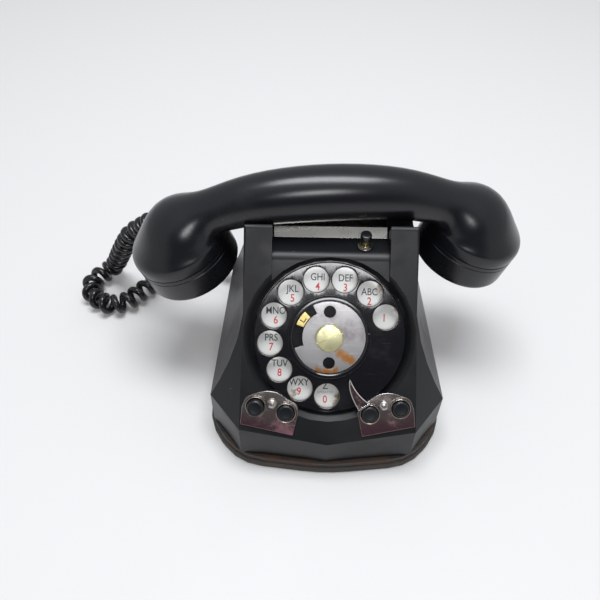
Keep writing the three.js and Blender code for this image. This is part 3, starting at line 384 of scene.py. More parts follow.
def draw_scratches(sheet: Sheet, source: bpy.types.Node) -> bpy.types.NodeSocket:
    """Fine crossing scratches."""
    masks = []
    for turn, stretch in ((0.5, 14.0), (1.9, 22.0), (-0.7, 18.0)):
        lay = sheet.node("ShaderNodeMapping", {"Vector": source.outputs["Vector"],
                                               "Rotation": (turn, turn * 0.6, turn * 1.7),
                                               "Scale": (1.0, stretch, stretch)})
        noise = sheet.node("ShaderNodeTexNoise", {"Vector": lay.outputs[0],
                                                  "Scale": source.outputs["Scale"],
                                                  "Detail": 3.0})
        masks.append(sheet.span(noise.outputs[0], 0.66, 0.74))
    most = sheet.maths("MAXIMUM", sheet.maths("MAXIMUM", masks[0], masks[1]), masks[2])
    return sheet.maths("MULTIPLY", most, source.outputs["Amount"])


BLOTCHES = effect("blotches", {"Scale": 40.0, "Threshold": 0.5, "Softness": 0.2}, draw_blotches)
SPECKS = effect("dust_specks", {"Scale": 300.0, "Size": 0.1}, draw_specks)
SCRATCHES = effect("scratches", {"Scale": 40.0, "Amount": 1.0}, draw_scratches)


# ---- Finishes -------------------------------------------------------------------------------


@dataclass(frozen=True)
class Finish:
    """A surface's colour, sheen, wear and dirt.

    Blotches mix in a second colour and change the roughness, scratches and specks lie over
    them, and grain is a fine bump.
    """

    name: str
    colour: Colour
    roughness: float
    metallic: float = 0.0
    coat: float = 0.0
    second: Colour = (0.02, 0.02, 0.02)
    blotch_scale: float = 35.0
    blotch_threshold: float = 0.48
    blotch_share: float = 0.5
    rough_spread: float = 0.08
    scratch_scale: float = 45.0
    scratches: float = 0.15
    scratch_colour: Colour = (0.2, 0.2, 0.2)
    speck_size: float = 0.0
    speck_colour: Colour = (0.5, 0.48, 0.44)
    grain_scale: float = 900.0
    grain: float = 0.02
    specular: float = 0.5

    def stains(self, sheet: Sheet, place: bpy.types.NodeSocket,
               colour: bpy.types.NodeSocket) -> bpy.types.NodeSocket:
        """Lays marks of this finish's own over its colour; the plain finish has none."""
        return colour

    def material(self) -> bpy.types.Material:
        """Builds the finish's material, or gives the one built before."""
        name = f"{self.name}_finish"
        if name in bpy.data.materials:
            return bpy.data.materials[name]
        material = bpy.data.materials.new(name)
        material.use_nodes = True
        sheet = Sheet(material.node_tree)
        shader = material.node_tree.nodes["Principled BSDF"]
        place = sheet.node("ShaderNodeTexCoord").outputs["Object"]
        blotches = sheet.group(BLOTCHES, {"Vector": place, "Scale": self.blotch_scale,
                                          "Threshold": self.blotch_threshold})
        share = sheet.maths("MULTIPLY", blotches, self.blotch_share)
        colour = sheet.blend(share, self.colour, self.second)
        colour = self.stains(sheet, place, colour)
        marks = sheet.group(SCRATCHES, {"Vector": place, "Scale": self.scratch_scale,
                                        "Amount": self.scratches})
        colour = sheet.blend(marks, colour, self.scratch_colour)
        rough = sheet.maths("ADD", self.roughness - self.rough_spread / 2,
                            sheet.maths("MULTIPLY", blotches, self.rough_spread))
        rough = sheet.maths("ADD", rough, sheet.maths("MULTIPLY", marks, 0.25))
        if self.speck_size:
            specks = sheet.group(SPECKS, {"Vector": place, "Size": self.speck_size})
            colour = sheet.blend(specks, colour, self.speck_colour)
            rough = sheet.maths("ADD", rough, sheet.maths("MULTIPLY", specks, 0.4))
        grain = sheet.node("ShaderNodeTexNoise", {"Vector": place, "Scale": self.grain_scale,
                                                  "Detail": 4.0})
        bump = sheet.node("ShaderNodeBump", {"Strength": self.grain, "Distance": 0.0004,
                                             "Height": grain.outputs[0]})
        tree = material.node_tree
        tree.links.new(colour, shader.inputs["Base Color"])
        tree.links.new(rough, shader.inputs["Roughness"])
        tree.links.new(bump.outputs[0], shader.inputs["Normal"])
        shader.inputs["Metallic"].default_value = self.metallic
        shader.inputs["Coat Weight"].default_value = self.coat
        shader.inputs["Specular IOR Level"].default_value = self.specular
        shader.inputs["Coat Roughness"].default_value = 0.12
        return material


@dataclass(frozen=True)
class StainedFinish(Finish):
    """A finish with round stains at given places, such as rust at a rim or a smear of glue."""

    spots: tuple[tuple[Colour, float, float], ...] = ()
    stain: Colour = (0.25, 0.12, 0.03)
    raggedness: float = 0.004
    strength: float = 0.9

    def stains(self, sheet: Sheet, place: bpy.types.NodeSocket,
               colour: bpy.types.NodeSocket) -> bpy.types.NodeSocket:
        """Lays the stains over the colour.

        Args:
            sheet: the tree being drawn.
            place: the object coordinates.
            colour: the colour so far.

        Returns:
            The stained colour.
        """
        rough_edge = sheet.node("ShaderNodeTexNoise", {"Vector": place, "Scale": 420.0,
                                                       "Detail": 5.0, "Roughness": 0.65})
        wander = sheet.maths("MULTIPLY", sheet.maths("SUBTRACT", rough_edge.outputs[0], 0.5),
                             self.raggedness)
        for centre, reach, soft in self.spots:
            gap = sheet.node("ShaderNodeVectorMath", {0: place, 1: centre},
                             operation="DISTANCE")
            far = sheet.maths("ADD", gap.outputs["Value"], wander)
            mask = sheet.maths("MULTIPLY", sheet.span(far, reach - soft, reach + soft, 1, 0),
                               self.strength)
            colour = sheet.blend(mask, colour, self.stain)
        return colour


@dataclass(frozen=True)
class FadingFinish(Finish):
    """A finish that takes on a second tint down the slope, such as nickel going violet."""

    tint: Colour = (0.36, 0.16, 0.2)
    high: float = 0.048
    low: float = 0.036

    def stains(self, sheet: Sheet, place: bpy.types.NodeSocket,
               colour: bpy.types.NodeSocket) -> bpy.types.NodeSocket:
        """Blends the tint in below a height, with an uneven edge."""
        height = sheet.node("ShaderNodeSeparateXYZ", {0: place}).outputs["Z"]
        noise = sheet.node("ShaderNodeTexNoise", {"Vector": place, "Scale": 160.0,
                                                  "Detail": 4.0})
        wander = sheet.maths("MULTIPLY", sheet.maths("SUBTRACT", noise.outputs[0], 0.5), 0.016)
        mask = sheet.span(sheet.maths("ADD", height, wander), self.low, self.high, 1, 0)
        return sheet.blend(sheet.maths("MULTIPLY", mask, 0.8), colour, self.tint)


# ---- Places ---------------------------------------------------------------------------------


def joint(name: str) -> dict:
    """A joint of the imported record, by name."""
    return next(j for j in frame["record"]["behaviour"]["joints"] if j["name"] == name)


def slope_matrix() -> Matrix:
    """The slope's frame, from the dial's joint, taking millimetres to metres."""
    turn = joint("dial_turn")
    out = Vector(turn["axis"]).normalized()
    right = Vector((1, 0, 0))
    axes = Matrix((right, out.cross(right), out)).transposed().to_4x4()
    return Matrix.Translation(turn["pos_m"]) @ axes @ TO_METRES


SLOPE = slope_matrix()


def on_slope(x: float, y: float, z: float = 0.0) -> Colour:
    """A point of the slope, in metres."""
    return tuple(SLOPE @ Vector((x, y, z)))


MOULDING = Finish("moulding", (0.006, 0.0065, 0.0078), 0.4, second=(0.011, 0.011, 0.012),
                  blotch_scale=18, rough_spread=0.12, scratches=0.03, speck_size=0.07,
                  scratch_colour=(0.06, 0.06, 0.065), grain=0.05, specular=0.3)
HANDSET_MOULDING = Finish("handset_moulding", (0.007, 0.0075, 0.0095), 0.3,
                          second=(0.014, 0.0145, 0.017), blotch_scale=14, rough_spread=0.1,
                          scratches=0.03, scratch_colour=(0.05, 0.05, 0.055), speck_size=0.05,
                          grain=0.03)
BLACK_ENAMEL = Finish("black_enamel", (0.006, 0.006, 0.008), 0.16,
                      second=(0.012, 0.012, 0.014), rough_spread=0.08, coat=0.3,
                      scratches=0.05, speck_size=0.07, grain=0.015)
CHROME = Finish("chrome", (0.62, 0.61, 0.58), 0.2, 1.0, second=(0.42, 0.4, 0.37),
                blotch_share=0.6, rough_spread=0.18, scratches=0.12, grain=0.03)
BAR_CHROME = Finish("bar_chrome", (0.4, 0.39, 0.365), 0.34, 1.0, second=(0.36, 0.35, 0.31),
                    blotch_share=0.5, rough_spread=0.15, scratches=0.15, grain=0.04)
NICKEL = FadingFinish("worn_nickel", (0.42, 0.38, 0.36), 0.3, 1.0, second=(0.26, 0.21, 0.2),
                      blotch_scale=70, blotch_share=0.7, rough_spread=0.2, scratches=0.2,
                      scratch_colour=(0.62, 0.58, 0.56), grain=0.05)
COLLAR_NICKEL = Finish("collar_nickel", (0.28, 0.25, 0.22), 0.35, 1.0, second=(0.18, 0.15, 0.12),
                       blotch_scale=160, blotch_share=0.8, rough_spread=0.2)
STEEL = Finish("dull_steel", (0.48, 0.46, 0.43), 0.4, 1.0, second=(0.28, 0.24, 0.2),
               blotch_scale=140, blotch_share=0.7, rough_spread=0.2, scratches=0.25)
BRASS = Finish("aged_brass", (0.62, 0.5, 0.2), 0.38, 1.0, second=(0.36, 0.24, 0.08),
               blotch_scale=160, blotch_share=0.7, rough_spread=0.2, scratches=0.2)
PALE_BRASS = Finish("pale_brass", (0.63, 0.6, 0.36), 0.36, 0.85, second=(0.46, 0.42, 0.22),
                    blotch_scale=120, blotch_share=0.6, rough_spread=0.15, scratches=0.2)
COPPER = Finish("enamelled_copper", (0.42, 0.16, 0.08), 0.4, 0.7, second=(0.25, 0.08, 0.04),
                blotch_scale=90)
RUBBER = Finish("cord_rubber", (0.007, 0.007, 0.008), 0.3, second=(0.012, 0.012, 0.012),
                blotch_scale=120, rough_spread=0.15, scratches=0.02, grain=0.04)
FELT = Finish("pad_felt", (0.05, 0.045, 0.04), 0.85, second=(0.09, 0.07, 0.05),
              blotch_scale=110, grain=0.6, grain_scale=1500)
STOP_HOLLOW = Finish("stop_hollow", (0.3, 0.2, 0.21), 0.28, 1.0, second=(0.16, 0.1, 0.11),
                     blotch_scale=150, blotch_share=0.8, rough_spread=0.2, scratches=0.2)
RUSTY_STEEL = StainedFinish("rusty_steel", (0.03, 0.027, 0.025), 0.55, 0.2,
                            second=(0.075, 0.04, 0.025), blotch_scale=85,
                            blotch_threshold=0.42, blotch_share=0.95, rough_spread=0.3,
                            scratches=0.2, scratch_colour=(0.2, 0.12, 0.08), grain=0.5,
                            grain_scale=500)
CARD_METAL = StainedFinish(
    "card_metal", (0.36, 0.35, 0.355), 0.38, 0.9, second=(0.2, 0.165, 0.175), blotch_scale=45,
    blotch_share=0.7, rough_spread=0.2, scratches=0.3, scratch_colour=(0.58, 0.57, 0.57),
    stain=(0.42, 0.17, 0.03), raggedness=0.006,
    spots=((on_slope(6, -8.6), 0.0024, 0.0014), (on_slope(9.5, -10.6), 0.0026, 0.0012),
           (on_slope(12.6, -12.2), 0.0022, 0.0012), (on_slope(-1, -18.8), 0.0024, 0.0012),
           (on_slope(3.5, -18.6), 0.0021, 0.0012), (on_slope(-6, -18), 0.0018, 0.001)))
NUMBER_ENAMEL = StainedFinish(
    "number_enamel", (0.8, 0.8, 0.77), 0.25, second=(0.72, 0.7, 0.64), blotch_scale=60,
    rough_spread=0.1, coat=0.2, scratches=0.04, scratch_colour=(0.5, 0.45, 0.38),
    stain=(0.2, 0.12, 0.05), raggedness=0.009, strength=0.85,
    spots=((on_slope(37.8, 16.6, -5.4), 0.0026, 0.0022),
           (on_slope(27.6, 27.6, -5.4), 0.0022, 0.0018),
           (on_slope(6.6, -34.6, -5.4), 0.0024, 0.002),
           (on_slope(5.4, -37.6, -5.4), 0.0022, 0.0016),
           (on_slope(-19, -32.6, -5.4), 0.0015, 0.0015)))
LETTER_INK = Finish("letter_ink", (0.012, 0.018, 0.03), 0.4, second=(0.035, 0.04, 0.05),
                    blotch_scale=400, blotch_share=0.6, scratches=0.0)
NUMBER_INK = Finish("number_ink", (0.62, 0.035, 0.03), 0.4, second=(0.7, 0.12, 0.09),
                    blotch_scale=400, blotch_share=0.6, scratches=0.0)
# Lighter brownish colour for the finger-hole rims: partly real wear of the enamel, partly a
# painted highlight where the rolled rims catch the light.
RIM_WEAR_AND_HIGHLIGHT = Finish("rim_wear_and_highlight", (0.1, 0.08, 0.065), 0.4, second=(0.03, 0.025, 0.022),
                  blotch_scale=130, blotch_share=0.8, rough_spread=0.2)
FAINT_INK = Finish("faint_ink", (0.3, 0.32, 0.33), 0.4, second=(0.5, 0.5, 0.48),
                   blotch_scale=500, blotch_share=0.8, scratches=0.0)

SLOT_FINISHES = {
    "foot_pad": FELT, "base_plate": RUSTY_STEEL, "moulding": MOULDING,
    "black_enamel": BLACK_ENAMEL, "number_enamel": NUMBER_ENAMEL, "card_metal": CARD_METAL,
    "chrome": CHROME, "nickel": NICKEL, "steel": STEEL, "brass": BRASS, "copper": COPPER,
    "rubber": RUBBER,
}


def piece(name: str, bm: bmesh.types.BMesh, finish: Finish, body: str,
          stands_for: Sequence[str] = (), matrix: Matrix = TO_METRES, sharp: float = 35,
          inlay: Finish | None = None) -> bpy.types.Object:
    """Turns a shape into a finished piece of the telephone.

    Args:
        name: the piece's name.
        bm: its shape in millimetres.
        finish: what it is finished in.
        body: the body that it rides on.
        stands_for: the CAD nodes that it replaces.
        matrix: takes the shape to its place, in metres.
        sharp: edges that turn by more than this angle in degrees stay crisp.
        inlay: the finish of the faces whose material index is 1.

    Returns:
        The piece's object.
    """
    mesh = bpy.data.meshes.new(name)
    bm.to_mesh(mesh)
    bm.free()
    mesh.transform(matrix)
    for polygon in mesh.polygons:
        polygon.use_smooth = True
    mesh.set_sharp_from_angle(angle=math.radians(sharp))
    mesh.materials.append(finish.material())
    if inlay:
        mesh.materials.append(inlay.material())
    item = bpy.data.objects.new(name, mesh)
    bpy.context.scene.collection.objects.link(item)
    shading = item.modifiers.new("even_shading", "WEIGHTED_NORMAL")
    shading.keep_sharp = True
    shading.weight = 100
    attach(item, body)
    if stands_for:
        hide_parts(*stands_for)
    LOG.info("%s: %d faces on %s", name, len(mesh.polygons), body)
    return item


# ---- Stage ----------------------------------------------------------------------------------


@dataclass
class Stage:
    """The table, the lights and the camera."""

    camera_place: Colour = (-0.0164, -0.246, 0.356)
    camera_pitch: float = 49.5
    camera_roll: float = 1.0
    lens: float = 39.0
    sensor: float = 36.0
    table_size: float = 8.0
    table_colour: Colour = (0.76, 0.75, 0.74)
    room_light: Colour = (0.95, 0.97, 1.0)
    dark_light: Colour = (0.12, 0.12, 0.13)
    dark_way: Colour = (0.0, -0.91, 0.42)
    room_strength: float = 0.52

    def add_camera(self) -> None:
        """Places the camera, looking forward and down."""
        data = bpy.data.cameras.new("camera")
        data.lens = self.lens
        data.sensor_width = self.sensor
        data.clip_start = 0.01
        camera = bpy.data.objects.new("camera", data)
        bpy.context.scene.collection.objects.link(camera)
        turn = Matrix.Rotation(math.radians(90 - self.camera_pitch), 4, "X")
        roll = Matrix.Rotation(math.radians(self.camera_roll), 4, "Z")
        camera.matrix_world = Matrix.Translation(self.camera_place) @ turn @ roll
        bpy.context.scene.camera = camera

    def add_light(self, name: str, place: Colour, aim: Colour, size: tuple[float, float],
                  power: float, colour: Colour) -> None:
        """Adds one soft light that faces a point.

        Args:
            name: the light's name.
            place: where it hangs, in metres.
            aim: the point that it faces.
            size: its width and height.
            power: its power in watts.
            colour: its colour.
        """
        data = bpy.data.lights.new(name, "AREA")
        data.shape = "RECTANGLE"
        data.size, data.size_y = size
        data.energy = power
        data.color = colour
        lamp = bpy.data.objects.new(name, data)
        bpy.context.scene.collection.objects.link(lamp)
        lamp.location = place
        lamp.rotation_mode = "QUATERNION"
        lamp.rotation_quaternion = (Vector(aim) - Vector(place)).to_track_quat("-Z", "Y")

    def add_table(self) -> None:
        """Lays the pale table top."""
        bm = bmesh.new()
        bmesh.ops.create_grid(bm, x_segments=4, y_segments=4, size=self.table_size / 2)
        mesh = bpy.data.meshes.new("table_top")
        bm.to_mesh(mesh)
        bm.free()
        table = bpy.data.objects.new("table_top", mesh)
        bpy.context.scene.collection.objects.link(table)
        paper = Finish("table_paper", self.table_colour, 0.6,
                       second=tuple(c * 0.985 for c in self.table_colour), blotch_scale=3,
                       scratches=0.0, grain=0.1, grain_scale=300)
        mesh.materials.append(paper.material())

    def build(self) -> None:
        """Sets up the world, the table, the lights and the camera."""
        scene = bpy.context.scene
        scene.view_settings.view_transform = "Standard"
        world = bpy.data.worlds.new("room")
        world.use_nodes = True
        background = world.node_tree.nodes["Background"]
        sheet = Sheet(world.node_tree)
        way = sheet.node("ShaderNodeTexCoord").outputs["Generated"]
        front = sheet.node("ShaderNodeVectorMath", {0: way, 1: self.dark_way},
                           operation="DOT_PRODUCT")
        shade = sheet.span(front.outputs["Value"], 0.7, 0.93)
        light = sheet.blend(shade, self.room_light, self.dark_light)
        world.node_tree.links.new(light, background.inputs["Color"])
        background.inputs["Strength"].default_value = self.room_strength
        scene.world = world
        self.add_table()
        self.add_light("overhead", (0.03, 0.12, 1.3), (0, 0.02, 0), (0.8, 0.4), 12.5,
                       (0.93, 0.96, 1.0))
        self.add_light("window", (0.05, -1.04, 1.13), (0, 0, 0.08), (0.42, 0.3), 5.0,
                       (0.97, 0.98, 1.0))
        self.add_camera()


# ---- Cord -----------------------------------------------------------------------------------


@dataclass
class CurlyCord:
    """The handset's curly cord: a wire wound round a smooth route."""

    route: tuple[Colour, ...] = (
        (-105.4, 53.5, 80.2), (-111.5, 56.8, 74.3), (-118.5, 60, 67), (-127, 62.5, 59),
        (-134, 66, 47), (-140.5, 71, 34), (-146.5, 76, 21), (-152, 77.5, 11.5),
        (-158, 74.5, 8), (-163.5, 68, 7.8), (-165.5, 59, 7.8), (-159, 50, 7.8),
        (-149, 44.5, 7.8), (-138.5, 47, 7.8), (-130, 55.5, 7.8), (-121, 66, 7.8),
        (-108, 76, 8.2), (-92, 83.5, 10.5), (-76.5, 83, 15), (-66.8, 77.2, 17.3),
        (-60.9, 72.2, 17.5))
    wire: float = 4.6
    winding_radius: float = 4.9
    pitch: float = 8.2
    rings_per_turn: int = 20
    lead_in: float = 9.0

    def line(self) -> list[Vector]:
        """The wire's own centre line, in millimetres."""
        route = smooth_line(self.route, 24)
        lengths = [0.0]
        for before, after in zip(route, route[1:]):
            lengths.append(lengths[-1] + (after - before).length)
        total = lengths[-1]
        across = Vector((0, 0, 1)).cross(route[1] - route[0]).normalized()
        count = int(total / self.pitch * self.rings_per_turn)
        line = []
        place = 0
        for i in range(count + 1):
            along = total * i / count
            while place < len(route) - 2 and lengths[place + 1] < along:
                place += 1
            share = (along - lengths[place]) / (lengths[place + 1] - lengths[place])
            middle = route[place].lerp(route[place + 1], share)
            ahead = (route[place + 1] - route[place]).normalized()
            across = (across - ahead * across.dot(ahead)).normalized()
            up = ahead.cross(across)
            ease = min(1.0, along / self.lead_in, (total - along) / self.lead_in)
            reach = self.winding_radius * ease * ease * (3 - 2 * ease)
            angle = math.tau * along / self.pitch
            line.append(middle + (across * math.cos(angle) + up * math.sin(angle)) * reach)
        return line

    def build(self) -> None:
        line = [point * MM for point in self.line()]
        data = bpy.data.curves.new("cord_line", "CURVE")
        data.dimensions = "3D"
        data.bevel_depth = self.wire / 2 * MM
        data.bevel_resolution = 3
        data.use_fill_caps = True
        spline = data.splines.new("POLY")
        spline.points.add(len(line) - 1)
        for point, spot in zip(spline.points, line):
            point.co = (*spot, 1)
        holder = bpy.data.objects.new("cord_line", data)
        bpy.context.scene.collection.objects.link(holder)
        mesh = bpy.data.meshes.new_from_object(
            holder.evaluated_get(bpy.context.evaluated_depsgraph_get()))
        bpy.data.objects.remove(holder)
        mesh.name = "curly_cord"
        for polygon in mesh.polygons:
            polygon.use_smooth = True
        mesh.materials.clear()
        mesh.materials.append(RUBBER.material())
        cord = bpy.data.objects.new("curly_cord", mesh)
        bpy.context.scene.collection.objects.link(cord)
        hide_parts("handset_cord")
        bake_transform(cord)


# ---- Dial -----------------------------------------------------------------------------------


@dataclass
class Dial:
    """The rotary dial: finger wheel, card, number plate with its lettering, and finger stop."""

    wheel_radius: float = 41.3
    wheel_thickness: float = 2.2
    ring_radius: float = 23.1
    ring_inner: float = 20.2
    ring_height: float = 1.4
    card_radius: float = 19.9
    card_low: float = -1.0
    card_high: float = -0.1
    card_notch: float = 14.8
    notch_span: tuple[float, float] = (118.0, 198.0)
    finger_hole: float = 6.9
    finger_place: float = 32.6
    first_angle: float = 21.3
    angle_step: float = 27.5
    plate_top: float = -5.4
    plate_radius: float = 41.4
    letter_height: float = 5.6
    letter_weight: float = 0.03
    number_weight: float = 0.07
    number_height: float = 6.0
    letter_up: float = 1.25
    letter_share: float = 0.84
    last_letter_lift: float = 2.5
    number_down: float = -4.0
    lone_number_down: float = -0.4
    ink_depth: float = 0.06
    small_height: float = 2.0
    small_up: float = 0.2
    small_ink_depth: float = 0.05
    label_place: float = 32.1
    label_turn: float = -1.5
    labels: tuple[tuple[str, str], ...] = (
        ("", "1"), ("ABC", "2"), ("DEF", "3"), ("GHI", "4"), ("JKL", "5"), ("MNO", "6"),
        ("PRS", "7"), ("TUV", "8"), ("WXY", "9"), ("Z", "0"))

    def places(self, radius: float, turn: float = 0) -> list[tuple[float, float]]:
        """Ten places round the dial, from 1 round to 0.

        Args:
            radius: how far out they lie.
            turn: how far they are turned from the finger holes, in degrees.

        Returns:
            The x and y of each place.
        """
        angles = [math.radians(self.first_angle + turn + i * self.angle_step)
                  for i in range(10)]
        return [(radius * math.cos(a), radius * math.sin(a)) for a in angles]

    def build_wheel(self) -> None:
        """The finger wheel with its ten rolled holes and its raised ring."""
        holes = [(x, y, self.finger_hole) for x, y in self.places(self.finger_place)]
        holes.append((0, 0, self.ring_inner))
        disc = plate(ring_points(self.wheel_radius, 128), holes, -self.wheel_thickness, 0, 48)
        soften(disc, 0.55, 3)
        ring = spun([(self.ring_inner, -1.2), (self.ring_radius, -1.2),
                     (self.ring_radius, 0.4), (self.ring_radius - 0.5, self.ring_height - 0.2),
                     (self.ring_radius - 1.0, self.ring_height),
                     (self.ring_inner + 0.7, self.ring_height),
                     (self.ring_inner + 0.2, self.ring_height - 0.3),
                     (self.ring_inner, self.ring_height - 0.9)], 96, closed=True)
        floor = spun([(3.4, -self.wheel_thickness), (self.ring_inner + 0.4,
                      -self.wheel_thickness), (self.ring_inner + 0.4, -1.35), (3.4, -1.35)],
                     96, closed=True)
        wheel = carved(disc, [ring, floor], "UNION")
        # Faces round the top of each finger hole take the lighter rim colour: partly real wear,
        # partly a painted highlight on the rolled edges.
        for face in wheel.faces:
            spot = face.calc_center_median()
            near = min(math.hypot(spot.x - x, spot.y - y) for x, y, _ in holes[:-1])
            worn = near < self.finger_hole + 0.6 and spot.z > -0.5 and face.normal.z < 0.9
            face.material_index = int(worn)
        piece("finger_wheel_enamelled", wheel, BLACK_ENAMEL, Body.DIAL.value,
              ["finger_wheel"], SLOPE, sharp=28, inlay=RIM_WEAR_AND_HIGHLIGHT)

    def build_card(self) -> None:
        """The bare card plate with its two holes and the notch at its edge."""
        start, end = (math.radians(a) for a in self.notch_span)
        outline = [(self.card_radius * math.cos(a), self.card_radius * math.sin(a))
                   for a in (end + (start + math.tau - end) * i / 90 for i in range(91))]
        outline += [(self.card_notch * math.cos(a), self.card_notch * math.sin(a))
                    for a in (start + (end - start) * i / 24 for i in range(25))]
        holes = [(0, 14.2, 3.3), (0, -14.2, 3.3), (0, 0, 2.3)]
        card = soften(plate(outline, holes, self.card_low, self.card_high, 40), 0.12, 2)
        piece("card_plate_bare", card, CARD_METAL, Body.DIAL.value,
              ["card_plate"], SLOPE)

    def build_clamp(self) -> None:
        """The brass tab in the notch, with a punched slot."""
        inner, outer = self.card_notch + 0.4, self.card_radius - 0.4
        arcs = [(math.radians(a), r) for r, span in ((outer, (134, 159)), (inner, (159, 134)))
                for a in (span[0] + (span[1] - span[0]) * i / 8 for i in range(9))]
        outline = [(r * math.cos(a), r * math.sin(a)) for a, r in arcs]
        tab = plate(outline, [], self.card_low, self.card_high)
        middle = math.radians(147)
        place = ((inner + outer) / 2 * math.cos(middle), (inner + outer) / 2 * math.sin(middle))
        turn = Matrix.Translation((*place, 0)) @ Matrix.Rotation(middle, 4, "Z")
        slots = []
        for x, y, wide, deep in ((0.2, 0.9, 2.6, 0.5), (-1.1, -0.4, 0.5, 2.4)):
            slot = bmesh.new()
            bmesh.ops.create_cube(slot, size=1, matrix=turn @ Matrix.Translation((x, y, 0))
                                  @ Matrix.Diagonal((wide, deep, 2.0, 1)))
            slots.append(slot)
        piece("card_clamp_brass", soften(carved(tab, slots), 0.1, 2), BRASS, Body.DIAL.value,
              ["card_clamp"], SLOPE)

    def build_screw(self) -> None:
        """The large cheese-headed screw in the middle, with a thin slot."""
        base = self.card_high + 0.3
        head = spun([(0, base - 2.8), (1.9, base - 2.8), (1.9, base), (7.6, base),
                     (7.8, base + 0.25), (7.8, base + 1.7), (7.2, base + 2.35),
                     (6.8, base + 2.5), (0, base + 2.6)], 72)
        slot = bmesh.new()
        turn = Matrix.Rotation(math.radians(22), 4, "Z")
        bmesh.ops.create_cube(slot, size=1, matrix=turn @ Matrix.Translation((0, 0, base + 2.9))
                              @ Matrix.Diagonal((20, 0.45, 2.6, 1)))
        piece("dial_screw_brass", carved(head, [slot]), PALE_BRASS, Body.DIAL.value,
              ["dial_screw"], SLOPE, sharp=30)

    def build_number_plate(self) -> None:
        """The white enamelled plate below the wheel."""
        top, bottom = self.plate_top, self.plate_top - 1
        rim = spun([(13, bottom), (self.plate_radius, bottom), (self.plate_radius, top - 0.25),
                    (self.plate_radius - 0.25, top), (13.2, top), (13, top - 0.2)],
                   96, closed=True)
        piece("number_plate_enamelled", rim, NUMBER_ENAMEL, Body.PHONE.value,
              ["number_plate"], SLOPE)

    def lettering(self, words: Iterable[tuple[str, float, float, float, float]],
                  depth: float, weight: float) -> bmesh.types.BMesh:
        """Raised print on the plate.

        Args:
            words: text, x, y, size and width share of each word.
            depth: how thick the ink lies.
            weight: how much bolder than the plain font.

        Returns:
            All the words as one mesh.
        """
        whole = bmesh.new()
        for text, x, y, size, wide in words:
            data = bpy.data.curves.new("word", "FONT")
            data.body = text
            data.size = size
            data.align_x = "CENTER"
            data.align_y = "CENTER"
            data.extrude = depth / 2
            data.offset = weight * size / self.letter_height
            data.resolution_u = 4
            holder = bpy.data.objects.new("word", data)
            bpy.context.scene.collection.objects.link(holder)
            depsgraph = bpy.context.evaluated_depsgraph_get()
            mesh = bpy.data.meshes.new_from_object(holder.evaluated_get(depsgraph))
            bpy.data.objects.remove(holder)
            mesh.transform(Matrix.Translation((x, y, self.plate_top + depth / 2))
                           @ Matrix.Diagonal((wide, 1, 1, 1)))
            whole.from_mesh(mesh)
            bpy.data.meshes.remove(mesh)
        bmesh.ops.remove_doubles(whole, verts=whole.verts[:], dist=1e-4)
        return whole

    def build_lettering(self) -> None:
        """The letters and the numbers that show through the finger holes."""
        letters, numbers = [], []
        spots = self.places(self.label_place, self.label_turn)
        for (word, number), (x, y) in zip(self.labels, spots):
            if word:
                lift = self.last_letter_lift if number == "0" else 0.0
                letters.append((word, x, y + self.letter_up + lift, self.letter_height,
                                self.letter_share))
            drop = self.number_down if word else self.lone_number_down
            numbers.append((number, x, y + drop, self.number_height, self.letter_share))
        zero_x, zero_y = spots[-1]
        small = [("OPERATOR", zero_x, zero_y + self.small_up, self.small_height,
                  self.letter_share)]
        piece("dial_letters", self.lettering(letters, self.ink_depth, self.letter_weight),
              LETTER_INK, Body.PHONE.value, (), SLOPE)
        piece("dial_numbers", self.lettering(numbers, self.ink_depth, self.number_weight),
              NUMBER_INK, Body.PHONE.value, (), SLOPE)
        small = self.lettering(small, self.small_ink_depth, self.letter_weight)
        piece("dial_operator_word", small, FAINT_INK, Body.PHONE.value, (),
              SLOPE)

    def build_finger_stop(self) -> None:
        """The chrome horn over the wheel, with a raised rim, and its foot."""
        low, high = 3.4, 4.5
        tip, left, corner = Vector((11.4, -21.5)), Vector((9.6, -28.4)), Vector((16.8, -39.6))
        far, right = Vector((23.2, -35.7)), Vector((15.4, -31.2))
        outline = [tuple(a.lerp(b, t).lerp(b.lerp(c, t), t)) for a, b, c in
                   ((tip, left, corner), (far, right, tip)) for t in (i / 16 for i in range(17))]
        blade = plate(outline[:-1], [], low, high)
        top = [face for face in blade.faces if face.normal.z > 0.9]
        bmesh.ops.dissolve_faces(blade, faces=top)
        top = [face for face in blade.faces if face.normal.z > 0.9]
        bmesh.ops.inset_region(blade, faces=top, thickness=0.55, depth=-0.45,
                               use_even_offset=True)
        soften(blade, 0.12, 2, 50)
        for face in blade.faces:
            low_face = face.calc_center_median().z < high - 0.3
            face.material_index = int(face.normal.z > 0.9 and low_face)
        foot = bmesh.new()
        turn = Matrix.Rotation(math.radians(-61.5), 4, "Z")
        bmesh.ops.create_cube(foot, size=1, matrix=turn @ Matrix.Translation((42.15, 0, -0.35))
                              @ Matrix.Diagonal((0.9, 7.2, 9.1, 1)))
        soften(foot, 0.15, 2)
        piece("finger_stop_chrome", joined(blade, foot), CHROME, Body.PHONE.value,
              ["finger_stop"], SLOPE, inlay=STOP_HOLLOW)

    def build(self) -> None:
        """Makes the whole dial."""
        self.build_wheel()
        self.build_card()
        self.build_clamp()
        self.build_screw()
        self.build_number_plate()
        self.build_lettering()
        self.build_finger_stop()


# ---- Keys -----------------------------------------------------------------------------------


